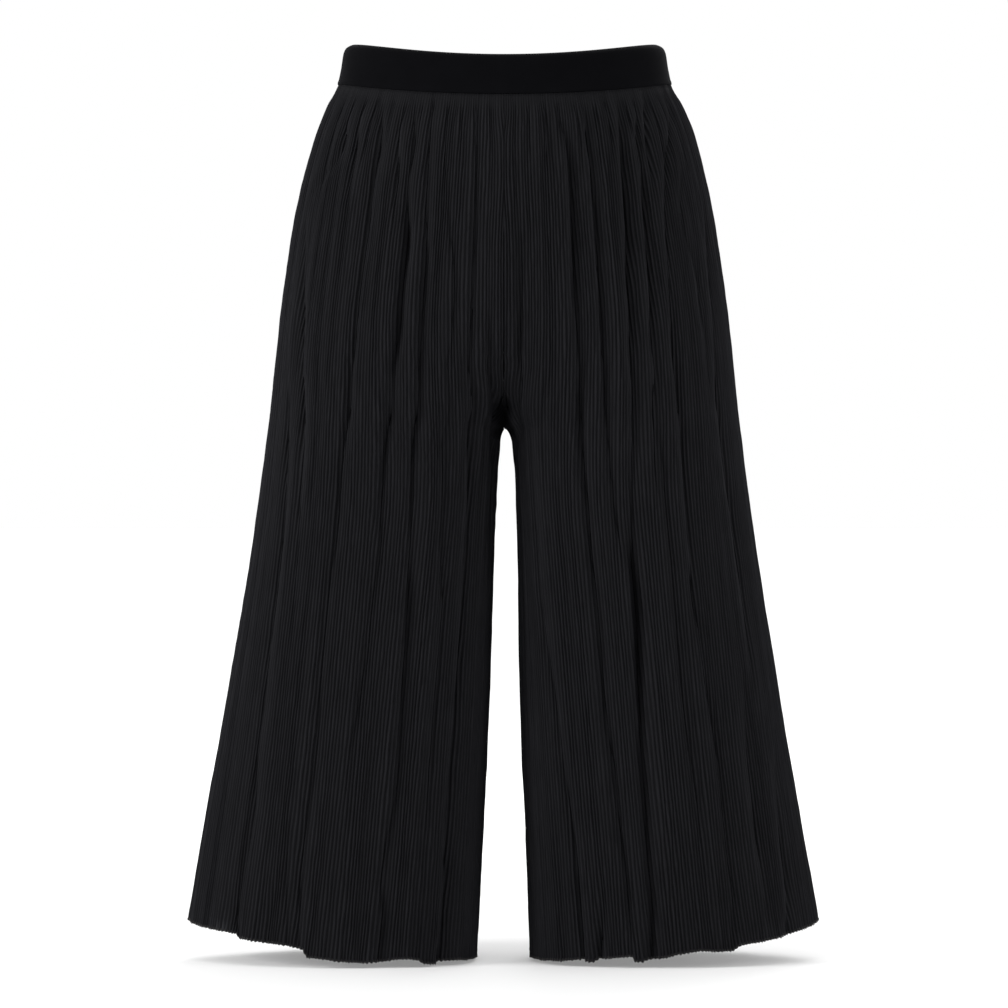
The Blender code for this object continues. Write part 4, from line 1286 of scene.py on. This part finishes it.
class TROUSERS_OT_panels(bpy.types.Operator):
    """Build the four pleated leg panels"""

    bl_idname = "trousers.panels"
    bl_label = "Leg panels"

    def execute(self, context):
        sizes = context.scene.trousers_cloth
        material = pleated_cloth(sizes)
        for panel in FOLD_ROWS:
            face = panel.split("_")[0]
            piece, hem = leg_panel(panel, sizes, material)
            keep_line(panel + "_hem_line", hem)
            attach(piece, "root")
            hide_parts(panel)
            "waistband_" + face + "_pile"
        return {"FINISHED"}


def band_profile():
    """The band's section, up its outer face and down its inner one."""
    table = columns(BAND_COLUMNS, BAND_ROWS)
    fine = np.linspace(0.0, 1.0, 15)
    along = np.linspace(0.0, 1.0, len(table["height"]))
    outer = np.stack([np.interp(fine, along, table[name]) for name in ("outset", "height")], axis=-1)
    slope = np.gradient(outer, axis=0)
    slope /= np.linalg.norm(slope, axis=-1, keepdims=True)
    inner = outer + np.stack([-slope[:, 1], slope[:, 0]], axis=-1) * BAND_THICK
    return np.concatenate([outer, inner[::-1]])


class TROUSERS_OT_band(bpy.types.Operator):
    """Build the waistband's two halves"""

    bl_idname = "trousers.band"
    bl_label = "Waistband"

    def execute(self, context):
        sizes = context.scene.trousers_band
        material = velvet_pile(sizes)
        outset, height = band_profile().T
        angle = np.linspace(0.0, math.pi, sizes.steps + 1)[:, None]
        sine = np.sin(angle).clip(0.0)
        low, high = BAND_DIP * sine**BAND_DIP_POWER, BAND_FACE_DIP * sine**BAND_FACE_POWER
        for face in FORWARD:
            dip = (low + (high - low) * height / BAND_HEIGHT) * (face == "front")
            x = (BAND_HALF_WIDTH + outset) * np.cos(angle)
            x = x * np.where(x > 0.0, 1.0 - TRIM["left"], 1.0 - TRIM["right"])
            y = FORWARD[face] * (BAND_HALF_DEPTH + outset) * np.sin(angle)
            points = np.stack([x, y, height - BAND_HEIGHT / 2 - dip], axis=-1)
            index = np.arange(x.size).reshape(x.shape)
            faces = quads(np.concatenate([index, index[:, :1]], axis=1))
            faces += [index[0].tolist(), index[-1][::-1].tolist()]
            piece = object_of(f"waistband_{face}_pile", points.reshape(-1, 3), faces, material)
            shape = bmesh.new()
            shape.from_mesh(piece.data)
            bmesh.ops.recalc_face_normals(shape, faces=shape.faces)
            shape.to_mesh(piece.data)
            shape.free()
            piece.data.shade_smooth()
            piece.data.set_sharp_from_angle(angle=math.radians(60))
            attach(piece, "root")
            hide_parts(f"waistband_{face}")
        return {"FINISHED"}


class TROUSERS_OT_hems(bpy.types.Operator):
    """Whip the hems with thread"""

    bl_idname = "trousers.hems"
    bl_label = "Hem stitches"

    def execute(self, context):
        sizes = context.scene.trousers_hem
        inputs = {"Pitch": sizes.pitch, "Thread": sizes.thread, "Reach": sizes.reach}
        group = whipping(inputs, sewing_thread(sizes))
        for panel in FOLD_ROWS:
            line = bpy.data.objects[panel + "_hem_line"]
            modifier = line.modifiers.new("Whipping", "NODES")
            modifier.node_group = group
            for item in group.interface.items_tree:
                if item.name in inputs:
                    modifier[item.identifier] = inputs[item.name]
            graph = context.evaluated_depsgraph_get()
            mesh = bpy.data.meshes.new_from_object(line.evaluated_get(graph), depsgraph=graph)
            if not mesh.polygons:
                raise RuntimeError(f"{panel}: the hem has no stitches")
            line.modifiers.clear()
            bpy.data.objects.remove(line)
            piece = shown(panel + "_hem_thread", mesh)
            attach(piece, "root")
        return {"FINISHED"}


def whipping(inputs, material):
    """A node tree that wraps a loop of thread round a line at every stitch."""
    group = bpy.data.node_groups.new("Whipping", "GeometryNodeTree")
    group.interface.new_socket("Geometry", in_out="INPUT", socket_type="NodeSocketGeometry")
    for name, value in inputs.items():
        socket = group.interface.new_socket(name, in_out="INPUT", socket_type="NodeSocketFloat")
        socket.default_value, socket.subtype = value, "DISTANCE"
    group.interface.new_socket("Geometry", in_out="OUTPUT", socket_type="NodeSocketGeometry")
    tree = Tree(group)
    line, pitch, thread, reach = (tree.node("NodeGroupInput", {}, {}, name) for name in ("Geometry", *inputs))
    line = tree.node("GeometryNodeMeshToCurve", {}, {"Mesh": line})
    spaced = tree.node("GeometryNodeResampleCurve", {"mode": "LENGTH"}, {"Curve": line, "Length": pitch})
    # a flat loop that stands across the line, a little taller than it is wide
    circle = tree.node("GeometryNodeCurvePrimitiveCircle", {}, {"Resolution": 7, "Radius": 1.0})
    flatten = tree.node("ShaderNodeCombineXYZ", {}, {"X": thread * 2.2, "Y": reach * 0.5, "Z": 1.0})
    loop = tree.node("GeometryNodeTransform", {}, {"Geometry": circle, "Scale": flatten})
    section = tree.node("GeometryNodeCurvePrimitiveCircle", {}, {"Resolution": 3, "Radius": thread})
    tube = tree.node("GeometryNodeCurveToMesh", {}, {"Curve": loop, "Profile Curve": section})
    # each loop is turned so that its height runs up the cloth and it leans with the stitch
    tangent = tree.node("GeometryNodeInputTangent", {}, {})
    axes = {"primary_axis": "Y", "secondary_axis": "Z"}
    turn = tree.node("FunctionNodeAxesToRotation", axes, {0: (0.0, 0.0, 1.0), 1: tangent})
    places = {"Points": spaced, "Instance": tube, "Rotation": turn}
    stitches = tree.node("GeometryNodeInstanceOnPoints", {}, places)
    up = tree.node("ShaderNodeCombineXYZ", {}, {"Z": reach * 0.42})
    lifting = {"Instances": stitches, "Translation": up, "Local Space": False}
    lift = tree.node("GeometryNodeTranslateInstances", {}, lifting)
    # a strand that runs along the fold of the edge
    strand = tree.node("GeometryNodeCurveToMesh", {}, {"Curve": spaced, "Profile Curve": section})
    both = tree.node("GeometryNodeJoinGeometry", {}, {"Geometry": [strand, lift]})
    real = tree.node("GeometryNodeRealizeInstances", {}, {"Geometry": both})
    smooth = tree.node("GeometryNodeSetShadeSmooth", {}, {"Geometry": real})
    finish = tree.node("GeometryNodeSetMaterial", {}, {"Geometry": smooth, "Material": material})
    tree.node("NodeGroupOutput", {}, {"Geometry": finish})
    return group


class TROUSERS_OT_studio(bpy.types.Operator):
    """Set up the pale floor, the soft lights and the camera"""

    bl_idname = "trousers.studio"
    bl_label = "Studio"

    def execute(self, context):
        sizes, scene = context.scene.trousers_studio, context.scene
        corners = [(-1.0, -1.0), (1.0, -1.0), (1.0, 1.0), (-1.0, 1.0)]
        points = np.array([(x * FLOOR_REACH, y * FLOOR_REACH, sizes.floor) for x, y in corners])
        object_of("studio_floor", points, [(0, 1, 2, 3)], studio_paint(sizes.floor_glow))
        world = bpy.data.worlds.new("studio")
        world.use_nodes = True
        background = world.node_tree.nodes["Background"].inputs
        background["Color"].default_value = (1.0, 1.0, 1.0, 1.0)
        background["Strength"].default_value = sizes.sky
        scene.world = world
        for row in SOFTBOX_ROWS:
            softbox = dict(zip(SOFTBOX_COLUMNS, row))
            data = bpy.data.lights.new(softbox["name"], "AREA")
            data.shape, data.size, data.energy = "SQUARE", softbox["size"], sizes.softbox * softbox["share"]
            light = shown(softbox["name"], data)
            light.location = softbox["place"]
            x, y, z = np.array(softbox["aim"]) - np.array(softbox["place"])
            light.rotation_euler = (math.atan2(math.hypot(x, y), -z), 0.0, math.atan2(-x, y))
        data = bpy.data.cameras.new("camera")
        data.lens, data.sensor_width = sizes.lens, 36.0
        camera = shown("camera", data)
        camera.location = (0.0, -sizes.distance, sizes.height)
        camera.rotation_euler = (math.radians(90.0), 0.0, 0.0)
        scene.camera = camera
        scene.view_settings.view_transform = "Standard"
        return {"FINISHED"}


OPERATORS = (TROUSERS_OT_band, TROUSERS_OT_panels, TROUSERS_OT_hems, TROUSERS_OT_studio)
GROUPS = {
    ClothSizes: "trousers_cloth",
    BandSizes: "trousers_band",
    HemSizes: "trousers_hem",
    StudioSizes: "trousers_studio",
}


class TROUSERS_PT_sidebar(bpy.types.Panel):
    """Lists the steps and their sizes"""

    bl_idname = "TROUSERS_PT_sidebar"
    bl_label = "Pleated trousers"
    bl_space_type = "VIEW_3D"
    bl_region_type = "UI"
    bl_category = "Trousers"

    def draw(self, context):
        for operator in OPERATORS:
            self.layout.operator(operator.bl_idname)
        for group, place in GROUPS.items():
            box = self.layout.box()
            for name in group.__annotations__:
                box.prop(getattr(context.scene, place), name)


def register():
    for group, name in GROUPS.items():
        bpy.utils.register_class(group)
        setattr(bpy.types.Scene, name, bpy.props.PointerProperty(type=group))
    for kind in (*OPERATORS, TROUSERS_PT_sidebar):
        bpy.utils.register_class(kind)


def unregister():
    for kind in (TROUSERS_PT_sidebar, *reversed(OPERATORS)):
        bpy.utils.unregister_class(kind)
    for group, name in reversed(list(GROUPS.items())):
        delattr(bpy.types.Scene, name)
        bpy.utils.unregister_class(group)


def main():
    register()
    bpy.ops.trousers.band()
    bpy.ops.trousers.panels()
    bpy.ops.trousers.hems()
    bpy.ops.trousers.studio()
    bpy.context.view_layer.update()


if __name__ == "__main__":
    main()
